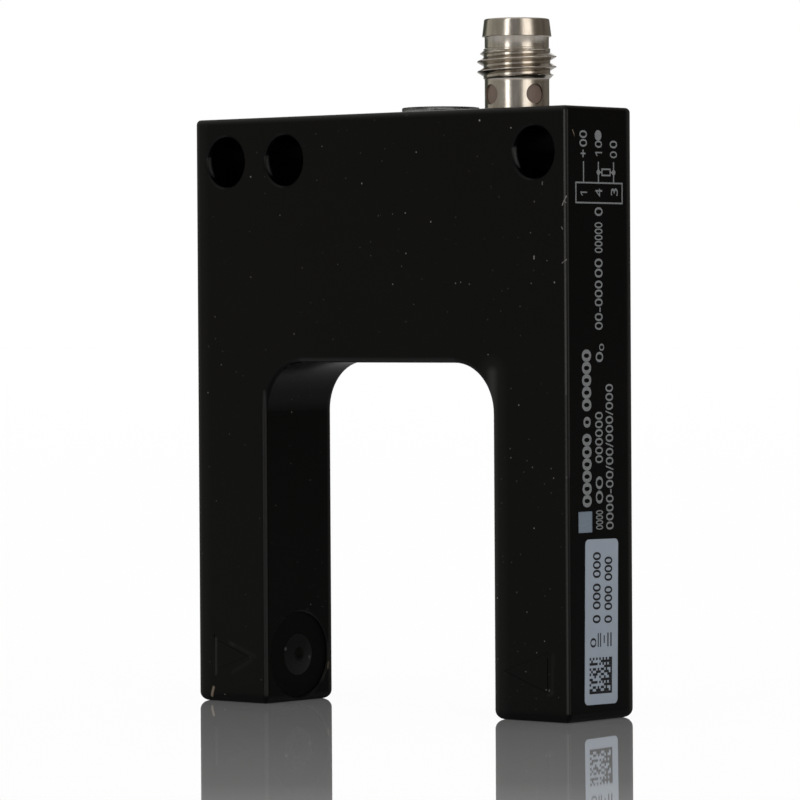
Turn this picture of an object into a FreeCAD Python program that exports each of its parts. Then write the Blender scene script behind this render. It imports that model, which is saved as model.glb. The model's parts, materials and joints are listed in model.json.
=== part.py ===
import FreeCAD, Part
import math
import os
import Sketcher

# Fork light barrier: a black cast fork with a light beam across its gap, a threaded
# three-pin connector and a sensitivity adjuster on top, closed by a flush back cover.
# X runs from the left leg to the right leg, Y from the front face to the back cover and
# Z upwards. The origin is under the middle of the housing, on the plane of the leg tips.

Vector = FreeCAD.Vector
TOLERANCE = 1e-4  # mm, for finding an edge by its place
doc = FreeCAD.newDocument("fork_sensor")
sheet = doc.addObject("Spreadsheet::Sheet", "size")

# Driving dimensions in millimetres
SIZES = {
    # Housing outline
    "body_width": 49.0,  # overall, left to right
    "body_height": 60.0,  # leg tips to top face
    "body_depth": 10.4,  # front face to back face
    "fork_width": 30.0,  # clear gap between the legs
    "fork_depth": 35.0,  # leg tips to the root of the gap
    "fork_corner": 5.0,  # radius at the root of the gap
    "edge_round": 0.5,  # radius on the other outer edges
    "foot_round": 0.9,  # radius round the leg tips
    # Housing walls and back cover
    "wall": 1.6,  # side, top and fork walls
    "front_wall": 1.2,  # wall behind the front face
    "rim": 1.0,  # lip that stands round the back cover
    "cover_thickness": 1.2,  # back cover plate
    "cover_gap": 0.06,  # joint round the back cover
    "gasket_thickness": 0.25,  # seal under the back cover
    "recess_corner": 1.0,  # corner radius of the cover recess
    # Fixing holes
    "hole_diameter": 5.2,  # three through holes
    "hole_chamfer": 0.2,  # countersink at both faces
    "hole_side": 4.2,  # outer holes to the side faces
    "hole_top": 4.45,  # holes to the top face
    "hole_pitch": 8.0,  # left pair, centre to centre
    "hole_wall": 1.0,  # metal left round a hole
    # Optics
    "axis_height": 4.85,  # light beam above the leg tips
    "port_diameter": 8.8,  # recess in the leg's inner face
    "port_depth": 0.8,  # depth of that recess
    "port_chamfer": 0.2,  # bevel at the recess mouth
    "bezel_thickness": 0.5,  # ring in the recess
    "bezel_gap": 0.05,  # ring to recess wall, radial
    "lens_diameter": 4.3,  # clear aperture
    "lens_gap": 0.05,  # lens to its bore, radial
    "lens_recess": 0.3,  # lens rim below the leg face
    "lens_crown": 0.2,  # height of the lens dome
    "lens_flange": 5.4,  # diameter of the flange inside
    "lens_flange_thickness": 0.6,  # flange inside the wall
    "holder_flange": 6.2,  # outer diameter round the lens
    "holder_flange_length": 1.2,  # along the beam
    "holder_barrel": 4.4,  # outer diameter of the barrel
    "holder_length": 3.2,  # wall to the back of the barrel
    "diode_diameter": 2.0,  # domed diode
    "diode_reach": 2.2,  # dome tip to collar
    "diode_collar": 2.8,  # collar diameter
    "diode_collar_thickness": 0.4,  # collar behind the holder
    "diode_gap": 0.05,  # diode to holder bore, radial
    "diode_lead": 0.45,  # lead wire diameter
    "diode_lead_pitch": 1.6,  # lead to lead
    "diode_lead_drop": 0.3,  # straight stretch before the bend
    "diode_lead_bend": 0.5,  # bend radius at the wire's middle
    # Circuit board
    "board_thickness": 0.8,  # glass fibre board
    "board_gap": 0.4,  # board edge to cavity wall
    "board_fork_inset": 3.0,  # board edge to the fork gap
    "board_top_inset": 4.8,  # board edge to the top face
    "lead_hole_gap": 0.1,  # wire to board hole, radial
    "lead_stub": 0.35,  # wire end behind the board
    "post_diameter": 2.6,  # board posts in the housing
    "post_side": 3.9,  # posts to the side faces
    "post_low": 22.0,  # lower posts above the leg tips
    "post_rise": 22.0,  # lower posts to upper posts
    "screw_diameter": 1.4,  # board screw shank
    "screw_gap": 0.05,  # shank to hole, radial
    "screw_length": 4.0,  # shank under the head
    "screw_head": 2.5,  # head diameter
    "screw_head_height": 0.5,  # pan head
    "screw_slot_width": 0.35,  # driver slot
    "screw_slot_depth": 0.2,  # driver slot
    # Connector
    "connector_side": 10.3,  # connector axis to the right side
    "connector_height": 8.95,  # rim above the top face
    "seat_depth": 3.0,  # shell end below the top face
    "seat_floor": 1.0,  # metal under the shell end
    "seat_wall": 1.2,  # metal beside the shell
    "seat_gap": 0.05,  # shell to seat, radial
    "collar_diameter": 6.4,  # plain collar under the thread
    "thread_base": 3.0,  # start of the thread above the top face
    "thread_length": 3.1,  # threaded stretch
    "thread_diameter": 7.85,  # over the thread crests
    "thread_chamfer": 0.5,  # run-out at both ends
    "neck_diameter": 6.38,  # groove behind the snap barb
    "barb_base": 7.17,  # barb shoulder above the top face
    "barb_diameter": 6.86,  # over the snap barb
    "rim_diameter": 6.5,  # outside of the rim
    "rim_round": 0.2,  # outer edge of the rim
    "socket_diameter": 5.2,  # bore of the shell
    "socket_depth": 4.7,  # rim to the face of the insert
    "lock_hole": 2.0,  # holes round the collar that key the insert
    "lock_hole_height": 1.45,  # their centres above the top face
    "insert_gap": 0.03,  # insert to shell, radial
    "insert_tail": 4.5,  # diameter below the shell
    "insert_tail_length": 1.4,  # length below the shell
    "insert_tail_gap": 0.1,  # tail to its bore, radial
    "key_width": 0.9,  # coding rib in the socket
    "key_depth": 0.45,  # coding rib towards the axis
    "key_setback": 0.6,  # rib end below the rim
    "pin_diameter": 1.0,  # contact pins
    "pin_circle": 3.0,  # circle through the pin axes
    "pin_setback": 0.8,  # pin tips below the rim
    "pin_tip": 0.2,  # bevel on a pin tip
    "pin_bend": 0.7,  # bend radius at the pin's middle
    "pin_drop": 0.8,  # straight stretch under the insert
    # Sensitivity adjuster
    "adjuster_side": 20.15,  # adjuster axis to the right side
    "window_diameter": 7.8,  # clear disc on the top face
    "window_height": 0.5,  # disc above the top face
    "window_round": 0.15,  # edge of the disc
    "window_plug": 6.8,  # plug through the top wall
    "window_plug_length": 2.8,  # top face to the end of the plug
    "window_gap": 0.05,  # plug to its bore, radial
    "rotor_diameter": 2.6,  # shaft in the window
    "rotor_gap": 0.08,  # shaft to window, radial
    "rotor_setback": 0.2,  # shaft end below the disc's face
    "rotor_foot": 3.2,  # foot in the trimmer
    "rotor_foot_height": 0.9,  # foot in the trimmer
    "driver_slot_width": 0.5,  # screwdriver slot
    "driver_slot_depth": 0.6,  # screwdriver slot
    "trimmer_width": 4.0,  # trimmer body, left to right
    "trimmer_height": 5.2,  # trimmer body, upright
    "trimmer_drop": 3.2,  # top of the trimmer below the top face
    "indicator_width": 1.2,  # indicator diode
    "indicator_height": 3.0,  # indicator diode
    "indicator_depth": 1.5,  # indicator diode
    "indicator_offset": 2.75,  # beside the adjuster axis
    "indicator_drop": 3.6,  # its top below the top face
    # Components on the board
    "chip_length": 8.6,  # controller, left to right
    "chip_width": 4.0,  # controller, upright
    "chip_height": 1.5,  # controller body off the board
    "chip_stand": 0.15,  # controller body above the board
    "chip_left": 1.0,  # controller's left end from the middle plane
    "chip_up": 6.5,  # controller's middle above the root of the gap
    "chip_leg_pitch": 1.27,  # leg to leg
    "chip_leg_width": 0.42,  # leg width
    "chip_leg_reach": 1.0,  # leg beyond the body
    "chip_leg_thickness": 0.2,  # leg thickness
    "regulator_length": 3.0,  # regulator, left to right
    "regulator_width": 2.8,  # regulator, upright
    "regulator_height": 1.1,  # off the board
    "regulator_left": -16.0,  # left end from the middle plane
    "regulator_up": 4.5,  # lower end above the root of the gap
    "driver_length": 4.9,  # output stage, left to right
    "driver_width": 3.9,  # output stage, upright
    "driver_height": 1.6,  # off the board
    "driver_left": 10.9,  # left end to the right side face
    "driver_up": 15.5,  # lower end below the top face
    "capacitor_length": 6.0,  # capacitor, left to right
    "capacitor_width": 3.2,  # capacitor, upright
    "capacitor_height": 2.5,  # off the board
    "capacitor_left": -8.5,  # left end from the middle plane
    "capacitor_up": 15.0,  # lower end below the top face
    "component_bevel": 0.3,  # bevel on the moulded bodies
    # Marks and label
    "mark_side": 2.25,  # axis mark to the side face
    "mark_length": 5.9,  # mark, base to tip
    "mark_width": 4.2,  # mark, across its base
    "mark_stroke": 0.45,  # width of the engraved line
    "mark_depth": 0.05,  # depth of the engraved line
    "label_width": 5.1,  # across the side face
    "label_height": 16.1,  # up the side face
    "label_low": 1.73,  # label above the leg tips
    "label_thickness": 0.08,  # label film
    "label_corner": 0.5,  # label corner radius
}

# Degrees, counterclockwise seen from above unless the note says otherwise
ANGLES = {
    "lock_hole_turn": -16.0,  # first lock hole from the X axis
    "pin_1_turn": 210.0,  # contact pins round the connector axis, from the X axis
    "pin_3_turn": 330.0,
    "pin_4_turn": 90.0,
    "label_tilt": 0.8,  # the label's top leans to the back
}

COUNTS = {
    "lock_holes": 4,  # round the connector's collar
    "chip_legs": 7,  # along each long side of the controller
}

def fill_sheet():
    """Write every size and its alias on the sheet."""
    rows = list(SIZES.items()) + list(ANGLES.items()) + list(COUNTS.items())
    for row, (name, number) in enumerate(rows, 1):
        sheet.set(f"A{row}", name)
        sheet.set(f"B{row}", str(number))
        sheet.setAlias(f"B{row}", name)
    doc.recompute()


fill_sheet()

# Places that several pieces share, as expressions on the sheet
FORK_SIDE = "size.fork_width / 2"
HALF_DEPTH = "size.body_depth / 2"
HOLE_HEIGHT = "size.body_height - size.hole_top"
HOLE_OUT = "(size.body_width / 2 - size.hole_side)"
HOLE_RADIUS = "size.hole_diameter / 2"
BOSS_RADIUS = "(size.hole_diameter / 2 + size.hole_wall)"
FRONT_INSIDE = "(size.front_wall - size.body_depth / 2)"
LEDGE_BACK = "(size.body_depth / 2 - size.cover_thickness - size.gasket_thickness)"
BOARD_FRONT = "size.holder_barrel / 2"
BOARD_BACK = "(size.holder_barrel / 2 + size.board_thickness)"
POST_OUT = "(size.body_width / 2 - size.post_side)"
CONNECTOR_X = "(size.body_width / 2 - size.connector_side)"
ADJUSTER_X = "(size.body_width / 2 - size.adjuster_side)"
SHELL_END = "(-size.seat_depth)"
INSERT_FACE = "(size.connector_height - size.socket_depth)"
INSERT_END = "(-size.seat_depth - size.insert_tail_length)"
PIN_RUN = "(-size.seat_depth - size.insert_tail_length - size.pin_drop - size.pin_bend)"
SEAT_BOTTOM = "(size.body_height - size.seat_depth - size.seat_floor)"
HOLDER_BACK = "(-size.wall - size.holder_length)"
COLLAR_BACK = "(-size.wall - size.holder_length - size.diode_collar_thickness)"
LEAD_RUN = (
    "(-size.wall - size.holder_length - size.diode_collar_thickness"
    " - size.diode_lead_drop - size.diode_lead_bend)"
)


def value(expression):
    """The present value of an expression, as a plain number."""
    result = sheet.evalExpression(str(expression))
    return float(getattr(result, "Value", result))


# Sketch helpers

def new_body(label):
    body = doc.addObject("PartDesign::Body", label)
    body.Label = label
    return body


def origin_part(body, role):
    """One of the body's own origin planes or axes."""
    return [item for item in body.Origin.OriginFeatures if item.Role == role][0]


def sketch_on(body, role, name, offset=None):
    """A sketch on one of the body's own origin planes, moved along its normal by offset."""
    sketch = body.newObject("Sketcher::SketchObject", name)
    sketch.AttachmentSupport = [(origin_part(body, role), "")]
    sketch.MapMode = "FlatFace"
    if offset is not None:
        sketch.setExpression("AttachmentOffset.Base.z", offset)
    return sketch


def fix(sketch, kind, number, *where):
    """Add one constraint and tie its value to an expression."""
    index = sketch.addConstraint(Sketcher.Constraint(kind, *where, value(number)))
    sketch.setExpression(f"Constraints[{index}]", number)


def pin_point(sketch, geometry, end, x, y):
    """Tie a point of the sketch to a place given by two expressions."""
    fix(sketch, "DistanceX", x, -1, 1, geometry, end)
    fix(sketch, "DistanceY", y, -1, 1, geometry, end)


def polygon(sketch, corners):
    """A closed outline of straight lines through the given corners."""
    points = [Vector(value(x), value(y), 0) for x, y in corners]
    count = len(points)
    lines = [
        sketch.addGeometry(Part.LineSegment(points[i], points[(i + 1) % count]))
        for i in range(count)
    ]
    for i, line in enumerate(lines):
        sketch.addConstraint(Sketcher.Constraint("Coincident", line, 2, lines[(i + 1) % count], 1))
        pin_point(sketch, line, 1, *corners[i])
    return lines


def circle(sketch, x, y, radius):
    centre = Vector(value(x), value(y), 0)
    ring = sketch.addGeometry(Part.Circle(centre, Vector(0, 0, 1), value(radius)))
    pin_point(sketch, ring, 3, x, y)
    fix(sketch, "Radius", radius, ring)
    return ring


def rectangle(sketch, left, low, right, high):
    return polygon(sketch, [(left, low), (right, low), (right, high), (left, high)])


def bent_path(sketch, left, top, foot, right, radius):
    """A path that runs down at left from top, turns at foot and runs level to right."""
    bend = value(radius)
    x, low, high = value(left), value(foot), value(top)
    corner = Vector(x + bend, low + bend, 0)
    quarter = Part.ArcOfCircle(Part.Circle(corner, Vector(0, 0, 1), bend), math.pi, 1.5 * math.pi)
    down = sketch.addGeometry(Part.LineSegment(Vector(x, high, 0), Vector(x, low + bend, 0)))
    turn = sketch.addGeometry(quarter)
    level = sketch.addGeometry(Part.LineSegment(Vector(x + bend, low, 0), Vector(value(right), low, 0)))
    pin_point(sketch, down, 1, left, top)
    sketch.addConstraint(Sketcher.Constraint("Vertical", down))
    sketch.addConstraint(Sketcher.Constraint("Horizontal", level))
    sketch.addConstraint(Sketcher.Constraint("Tangent", down, 2, turn, 1))
    sketch.addConstraint(Sketcher.Constraint("Tangent", turn, 2, level, 1))
    fix(sketch, "Radius", radius, turn)
    pin_point(sketch, level, 2, right, foot)


# Feature helpers

def pad(body, sketch, length, symmetric=False, reverse=False):
    feature = body.newObject("PartDesign::Pad", sketch.Name + "_pad")
    feature.Profile = sketch
    feature.setExpression("Length", length)
    feature.SideType = "Symmetric" if symmetric else "One side"
    feature.Reversed = reverse
    doc.recompute()
    return feature


def pocket(body, sketch, length, symmetric=False, reverse=False):
    """Cut the sketch out of the body and make sure that something was cut."""
    before = body.Shape.Volume
    feature = body.newObject("PartDesign::Pocket", sketch.Name + "_cut")
    feature.Profile = sketch
    feature.setExpression("Length", length)
    feature.SideType = "Symmetric" if symmetric else "One side"
    feature.Reversed = reverse
    doc.recompute()
    if not feature.Shape.Volume < before:
        raise RuntimeError(f"{feature.Name} cuts nothing")
    return feature


def sweep(body, section, path):
    feature = body.newObject("PartDesign::AdditivePipe", section.Name + "_sweep")
    feature.Profile = section
    feature.Spine = path
    doc.recompute()
    return feature


def revolve(body, sketch):
    """Turn the sketch about its own upright axis."""
    feature = body.newObject("PartDesign::Revolution", sketch.Name + "_turned")
    feature.Profile = sketch
    feature.ReferenceAxis = (sketch, ["V_Axis"])
    feature.Angle = 360.0
    doc.recompute()
    return feature


def turned_body(label, profile):
    """A body turned about its own Z axis from a closed profile of radius and height."""
    body = new_body(label)
    sketch = sketch_on(body, "XZ_Plane", label + "_profile")
    polygon(sketch, profile)
    revolve(body, sketch)
    return body


def domed_body(label, corners, tip):
    """A body turned about its Z axis: straight steps, then a dome that ends at the tip."""
    body = new_body(label)
    sketch = sketch_on(body, "XZ_Plane", label + "_profile")
    points = [Vector(value(x), value(y), 0) for x, y in corners]
    rim, crown = points[-1], Vector(0, value(tip), 0)
    rise = crown.y - rim.y
    radius = (rim.x ** 2 + rise ** 2) / (2 * rise)
    between = Vector(rim.x / 2, crown.y - radius + (radius ** 2 - rim.x ** 2 / 4) ** 0.5, 0)
    lines = [sketch.addGeometry(Part.LineSegment(a, b)) for a, b in zip(points, points[1:])]
    dome = sketch.addGeometry(Part.Arc(rim, between, crown))
    axis = sketch.addGeometry(Part.LineSegment(crown, points[0]))
    for line, (x, y) in zip(lines, corners):
        pin_point(sketch, line, 1, x, y)
    pin_point(sketch, lines[-1], 2, *corners[-1])
    pin_point(sketch, axis, 1, "0", tip)
    chain = lines + [dome, axis]
    for i, piece in enumerate(chain):
        following = chain[(i + 1) % len(chain)]
        sketch.addConstraint(Sketcher.Constraint("Coincident", piece, 2, following, 1))
    sketch.addConstraint(Sketcher.Constraint("PointOnObject", dome, 3, -2))
    revolve(body, sketch)
    return body


def edges_where(feature, test):
    """Names of the feature's edges that pass the test; a sphere's poles are passed over."""
    edges = enumerate(feature.Shape.Edges, 1)
    return [f"Edge{number}" for number, edge in edges if not edge.Degenerated and test(edge)]


def dress(body, kind, base, edges, size, number):
    """A fillet or a chamfer on named edges of the last feature."""
    if not edges:
        raise RuntimeError(f"{body.Label}: no edge to dress")
    feature = body.newObject("PartDesign::" + kind, f"{body.Label}_{kind}_{len(body.Group)}")
    feature.Base = (base, edges)
    feature.setExpression(size, number)
    doc.recompute()
    return feature


def fillet(body, base, edges, radius):
    return dress(body, "Fillet", base, edges, "Radius", radius)


def chamfer(body, base, edges, size):
    return dress(body, "Chamfer", base, edges, "Size", size)


def same(a, b):
    return abs(a - b) < TOLERANCE


def is_line_along(edge, axis):
    if not isinstance(edge.Curve, Part.Line):
        return False
    return same(abs(edge.Curve.Direction.dot(axis)), 1)


def depth_edges_at(feature, places):
    """Straight edges that run front to back through the given X and Z places."""
    spots = [(value(x), value(z)) for x, z in places]

    def fits(edge):
        if not is_line_along(edge, Vector(0, 1, 0)):
            return False
        point = edge.Vertexes[0].Point
        return any(same(point.x, x) and same(point.z, z) for x, z in spots)

    return edges_where(feature, fits)


def place(item, x="0", y="0", z="0", rotation=None):
    """Give a piece its place, tied to the sheet."""
    if rotation is not None:
        item.Placement = FreeCAD.Placement(Vector(0, 0, 0), rotation)
    for axis, expression in (("x", x), ("y", y), ("z", z)):
        item.setExpression(f"Placement.Base.{axis}", expression)


# Outline shared by the cover recess, the cavity, the cover, the gasket and the board

def fork_corners(inset, fork_inset=None, top_inset=None):
    """Corners of the fork's outline, moved inwards by an inset and round both boss blocks."""
    fork_inset = fork_inset or inset
    top_inset = top_inset or inset
    out = f"(size.body_width / 2 - ({inset}))"
    leg = f"(size.fork_width / 2 + ({fork_inset}))"
    root = f"(size.fork_depth + ({fork_inset}))"
    top = f"(size.body_height - ({top_inset}))"
    foot = f"({inset})"
    past = f"({BOSS_RADIUS} + ({inset}) - size.rim)"
    boss_foot = f"({HOLE_HEIGHT} - {past})"
    boss_left = f"(size.hole_pitch + {past} - {HOLE_OUT})"
    boss_right = f"({HOLE_OUT} - {past})"
    return {
        "feet": [(f"-{out}", foot), (f"-{leg}", foot), (leg, foot), (out, foot)],
        "roots": [(f"-{leg}", root), (leg, root)],
        "shoulders": [(f"-{out}", boss_foot), (out, boss_foot)],
        "tops": [(boss_left, top), (boss_right, top)],
        "bosses": [(boss_left, boss_foot), (boss_right, boss_foot)],
    }


def fork_outline(sketch, corners):
    feet, roots, shoulders = corners["feet"], corners["roots"], corners["shoulders"]
    tops, bosses = corners["tops"], corners["bosses"]
    polygon(sketch, [
        feet[0], feet[1], roots[0], roots[1], feet[2], feet[3],
        shoulders[1], bosses[1], tops[1], tops[0], bosses[0], shoulders[0],
    ])


def round_fork_corners(body, feature, corners, fork_inset, sharp=()):
    """Round the outline's outer corners, the roots of the gap and the boss blocks."""
    outer = corners["feet"] + corners["shoulders"] + corners["tops"]
    outer = [corner for corner in outer if corner not in sharp]
    step = fillet(body, feature, depth_edges_at(feature, outer), "size.recess_corner")
    radius = f"size.fork_corner + {fork_inset}"
    step = fillet(body, step, depth_edges_at(step, corners["roots"]), radius)
    return fillet(body, step, depth_edges_at(step, corners["bosses"]), BOSS_RADIUS)


def build_housing():
    body = new_body("fork_housing")
    outline = sketch_on(body, "XZ_Plane", "housing_outline")
    out, leg = "size.body_width / 2", FORK_SIDE
    polygon(outline, [
        (f"-{out}", "0"), (f"-{leg}", "0"), (f"-{leg}", "size.fork_depth"),
        (leg, "size.fork_depth"), (leg, "0"), (out, "0"),
        (out, "size.body_height"), (f"-{out}", "size.body_height"),
    ])
    step = pad(body, outline, "size.body_depth", symmetric=True)
    roots = [(f"-{leg}", "size.fork_depth"), (leg, "size.fork_depth")]
    step = fillet(body, step, depth_edges_at(step, roots), "size.fork_corner")
    step = round_feet(body, step)
    step = round_outer_edges(body, step)
    step = hollow_housing(body)
    step = drill_fixing_holes(body)
    open_light_ports(body)
    open_top(body)
    drill_posts(body)
    engrave_marks(body)
    return body


def is_level_at(edge, heights):
    """Whether the edge lies flat at one of the heights."""
    points = [vertex.Point for vertex in edge.Vertexes]
    return any(all(same(point.z, height) for point in points) for height in heights)


def round_feet(body, step):
    return fillet(body, step, edges_where(step, lambda edge: is_level_at(edge, [0])), "size.foot_round")


def round_outer_edges(body, step):
    """Every other outer edge but the seams beside the rounded roots of the gap."""
    half = value(HALF_DEPTH)
    foot_seams = [0, value("size.foot_round")]
    root_seams = [
        (value(FORK_SIDE), value("size.fork_depth - size.fork_corner")),
        (value("size.fork_width / 2 - size.fork_corner"), value("size.fork_depth")),
    ]

    def is_outer(edge):
        points = [vertex.Point for vertex in edge.Vertexes]
        if is_level_at(edge, foot_seams):
            return False
        if all(same(abs(point.y), half) for point in points) and same(points[0].y, points[-1].y):
            return True
        spot = points[0]
        return not any(same(abs(spot.x), x) and same(spot.z, z) for x, z in root_seams)

    return fillet(body, step, edges_where(step, is_outer), "size.edge_round")


def hollow_housing(body):
    """Cut the cover recess and the cavity from the back, and leave the board posts."""
    recess = sketch_on(body, "XZ_Plane", "cover_recess", "-" + HALF_DEPTH)
    corners = fork_corners("size.rim")
    fork_outline(recess, corners)
    step = pocket(body, recess, "size.cover_thickness + size.gasket_thickness", reverse=True)
    round_fork_corners(body, step, corners, "size.rim")

    cavity = sketch_on(body, "XZ_Plane", "cavity", "-" + LEDGE_BACK)
    corners = fork_corners("size.wall")
    fork_outline(cavity, corners)
    step = pocket(body, cavity, f"{LEDGE_BACK} - {FRONT_INSIDE}", reverse=True)
    beside_lenses = corners["feet"][1:3]
    round_fork_corners(body, step, corners, "size.wall", beside_lenses)

    seat = sketch_on(body, "XZ_Plane", "connector_seat", "-" + LEDGE_BACK)
    seat_left = f"{CONNECTOR_X} - size.collar_diameter / 2 - size.seat_wall"
    inside_top_wall = "size.body_height - size.wall / 2"
    rectangle(seat, seat_left, SEAT_BOTTOM, HOLE_OUT, inside_top_wall)
    pad(body, seat, f"{LEDGE_BACK} - {FRONT_INSIDE}")

    posts = sketch_on(body, "XZ_Plane", "board_posts", f"-{FRONT_INSIDE}")
    for x, z in post_places():
        circle(posts, x, z, "size.post_diameter / 2")
    return pad(body, posts, f"{BOARD_FRONT} - {FRONT_INSIDE}", reverse=True)


def post_places():
    high = "size.post_low + size.post_rise"
    return [
        (side + POST_OUT, height)
        for side in ("-", "")
        for height in ("size.post_low", high)
    ]


def drill_fixing_holes(body):
    holes = sketch_on(body, "XZ_Plane", "fixing_holes")
    for x in (f"-{HOLE_OUT}", f"size.hole_pitch - {HOLE_OUT}", HOLE_OUT):
        circle(holes, x, HOLE_HEIGHT, HOLE_RADIUS)
    step = pocket(body, holes, "2 * size.body_depth", symmetric=True)
    half, radius = value(HALF_DEPTH), value(HOLE_RADIUS)

    def is_mouth(edge):
        if not isinstance(edge.Curve, Part.Circle) or not same(edge.Curve.Radius, radius):
            return False
        return same(abs(edge.Curve.Center.y), half)

    return chamfer(body, step, edges_where(step, is_mouth), "size.hole_chamfer")


def open_light_ports(body):
    """Facing recesses and lens bores, cut through both legs at once along the beam."""
    ports = sketch_on(body, "YZ_Plane", "light_ports")
    circle(ports, "0", "size.axis_height", "size.port_diameter / 2")
    step = pocket(body, ports, "size.fork_width + 2 * size.port_depth", symmetric=True)
    radius, face = value("size.port_diameter / 2"), value(FORK_SIDE)

    def is_mouth(edge):
        if not isinstance(edge.Curve, Part.Circle) or not same(edge.Curve.Radius, radius):
            return False
        return same(abs(edge.Curve.Center.x), face)

    chamfer(body, step, edges_where(step, is_mouth), "size.port_chamfer")
    bores = sketch_on(body, "YZ_Plane", "lens_bores")
    circle(bores, "0", "size.axis_height", "size.lens_diameter / 2 + size.lens_gap")
    past_walls = "size.fork_width + 2 * (size.wall + size.lens_flange_thickness)"
    pocket(body, bores, past_walls, symmetric=True)


def open_top(body):
    """Bores for the connector shell, its insert and the adjuster window."""
    seat = sketch_on(body, "XY_Plane", "shell_bore", "size.body_height")
    circle(seat, CONNECTOR_X, "0", "size.collar_diameter / 2 + size.seat_gap")
    pocket(body, seat, "size.seat_depth")
    tail = sketch_on(body, "XY_Plane", "insert_bore", "size.body_height")
    circle(tail, CONNECTOR_X, "0", "size.insert_tail / 2 + size.insert_tail_gap")
    pocket(body, tail, "size.seat_depth + max(size.seat_floor; size.insert_tail_length)")
    window = sketch_on(body, "XY_Plane", "window_bore", "size.body_height")
    circle(window, ADJUSTER_X, "0", "size.window_plug / 2 + size.window_gap")
    pocket(body, window, "max(size.window_plug_length; 2 * size.wall)")


def drill_posts(body):
    pilots = sketch_on(body, "XZ_Plane", "screw_pilots", f"-{BOARD_FRONT}")
    for x, z in post_places():
        circle(pilots, x, z, "size.screw_diameter / 2 + size.screw_gap")
    pocket(body, pilots, "size.screw_length - size.board_thickness + size.screw_gap", reverse=True)


def engrave_marks(body):
    """Outline triangles on both legs that point inwards along the beam."""
    marks = sketch_on(body, "XZ_Plane", "axis_marks", HALF_DEPTH)
    slant = "sqrt(size.mark_length ^ 2 + (size.mark_width / 2) ^ 2)"
    tip_back = f"size.mark_stroke * {slant} / (size.mark_width / 2)"
    half = "size.mark_width / 2"
    inner_half = (
        f"({half} * (1 - size.mark_stroke / size.mark_length)"
        f" - size.mark_stroke * {slant} / size.mark_length)"
    )
    base = "(size.body_width / 2 - size.mark_side)"
    inner_base = "(size.body_width / 2 - size.mark_side - size.mark_stroke)"
    tip = "(size.body_width / 2 - size.mark_side - size.mark_length)"
    inner_tip = f"({tip} + {tip_back})"
    level = "size.axis_height"
    for side in ("-", ""):
        polygon(marks, [
            (side + base, f"{level} - {half}"), (side + tip, level), (side + base, f"{level} + {half}"),
        ])
        polygon(marks, [
            (side + inner_base, f"{level} - {inner_half}"), (side + inner_tip, level),
            (side + inner_base, f"{level} + {inner_half}"),
        ])
    pocket(body, marks, "size.mark_depth")


# Cover, gasket and board

def plate(label, corners, fork_inset, thickness, front):
    """A plate with the fork's inset outline, its front face at the given depth."""
    body = new_body(label)
    outline = sketch_on(body, "XZ_Plane", label + "_outline")
    fork_outline(outline, corners)
    step = pad(body, outline, thickness, reverse=True)
    round_fork_corners(body, step, corners, fork_inset)
    place(body, y=front)
    return body


def build_cover():
    inset = "size.rim + size.cover_gap"
    front = f"{HALF_DEPTH} - size.cover_thickness"
    return plate("back_cover", fork_corners(inset), inset, "size.cover_thickness", front)


def build_gasket():
    inset = "size.rim + size.cover_gap"
    corners = fork_corners(inset)
    body = plate("cover_gasket", corners, inset, "size.gasket_thickness", LEDGE_BACK)
    opening = sketch_on(body, "XZ_Plane", "gasket_opening")
    corners = fork_corners("size.wall")
    fork_outline(opening, corners)
    pocket(body, opening, "size.gasket_thickness")
    return body


def build_board():
    inset = "size.wall + size.board_gap"
    corners = fork_corners(inset, "size.board_fork_inset", "size.board_top_inset")
    body = plate("circuit_board", corners, "size.board_fork_inset", "size.board_thickness", BOARD_FRONT)
    holes = sketch_on(body, "XZ_Plane", "board_holes")
    for x, z in post_places():
        circle(holes, x, z, "size.screw_diameter / 2 + size.screw_gap")
    lead_hole = "size.diode_lead / 2 + size.lead_hole_gap"
    for side in ("-", ""):
        lead = f"{side}({FORK_SIDE} - {LEAD_RUN})"
        for shift in ("-", "+"):
            circle(holes, lead, f"size.axis_height {shift} size.diode_lead_pitch / 2", lead_hole)
    for number in PINS:
        x = f"{CONNECTOR_X} + {pin_place(number)[0]}"
        circle(holes, x, f"size.body_height + {PIN_RUN}", "size.pin_diameter / 2 + size.lead_hole_gap")
    pocket(body, holes, "size.board_thickness")
    return body


def build_screws():
    """Four pan-head screws, one in each board post."""
    body = new_body("board_screws")
    heads = sketch_on(body, "XZ_Plane", "screw_heads", "-" + BOARD_BACK)
    shanks = sketch_on(body, "XZ_Plane", "screw_shanks", "-" + BOARD_BACK)
    slots = sketch_on(body, "XZ_Plane", "screw_slots", f"-({BOARD_BACK} + size.screw_head_height)")
    half_slot, half_head = "size.screw_slot_width / 2", "size.screw_head / 2"
    for x, z in post_places():
        circle(heads, x, z, half_head)
        circle(shanks, x, z, "size.screw_diameter / 2")
        rectangle(slots, f"{x} - {half_slot}", f"{z} - {half_head}",
                  f"{x} + {half_slot}", f"{z} + {half_head}")
    pad(body, heads, "size.screw_head_height", reverse=True)
    pad(body, shanks, "size.screw_length")
    pocket(body, slots, "size.screw_slot_depth", reverse=True)
    return body


# Optics: each piece's own Z axis points out of the leg, and its origin is on the leg face

def along_beam(body, side):
    """Turn a piece to look across the gap from the left (-) or the right (+) leg."""
    if side == "-":
        turn = FreeCAD.Rotation(Vector(0, 1, 0), Vector(0, 0, 1), Vector(1, 0, 0), "XYZ")
    else:
        turn = FreeCAD.Rotation(Vector(0, 1, 0), Vector(0, 0, -1), Vector(-1, 0, 0), "XYZ")
    place(body, x=f"{side}{FORK_SIDE}", z="size.axis_height", rotation=turn)
    return body


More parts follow.
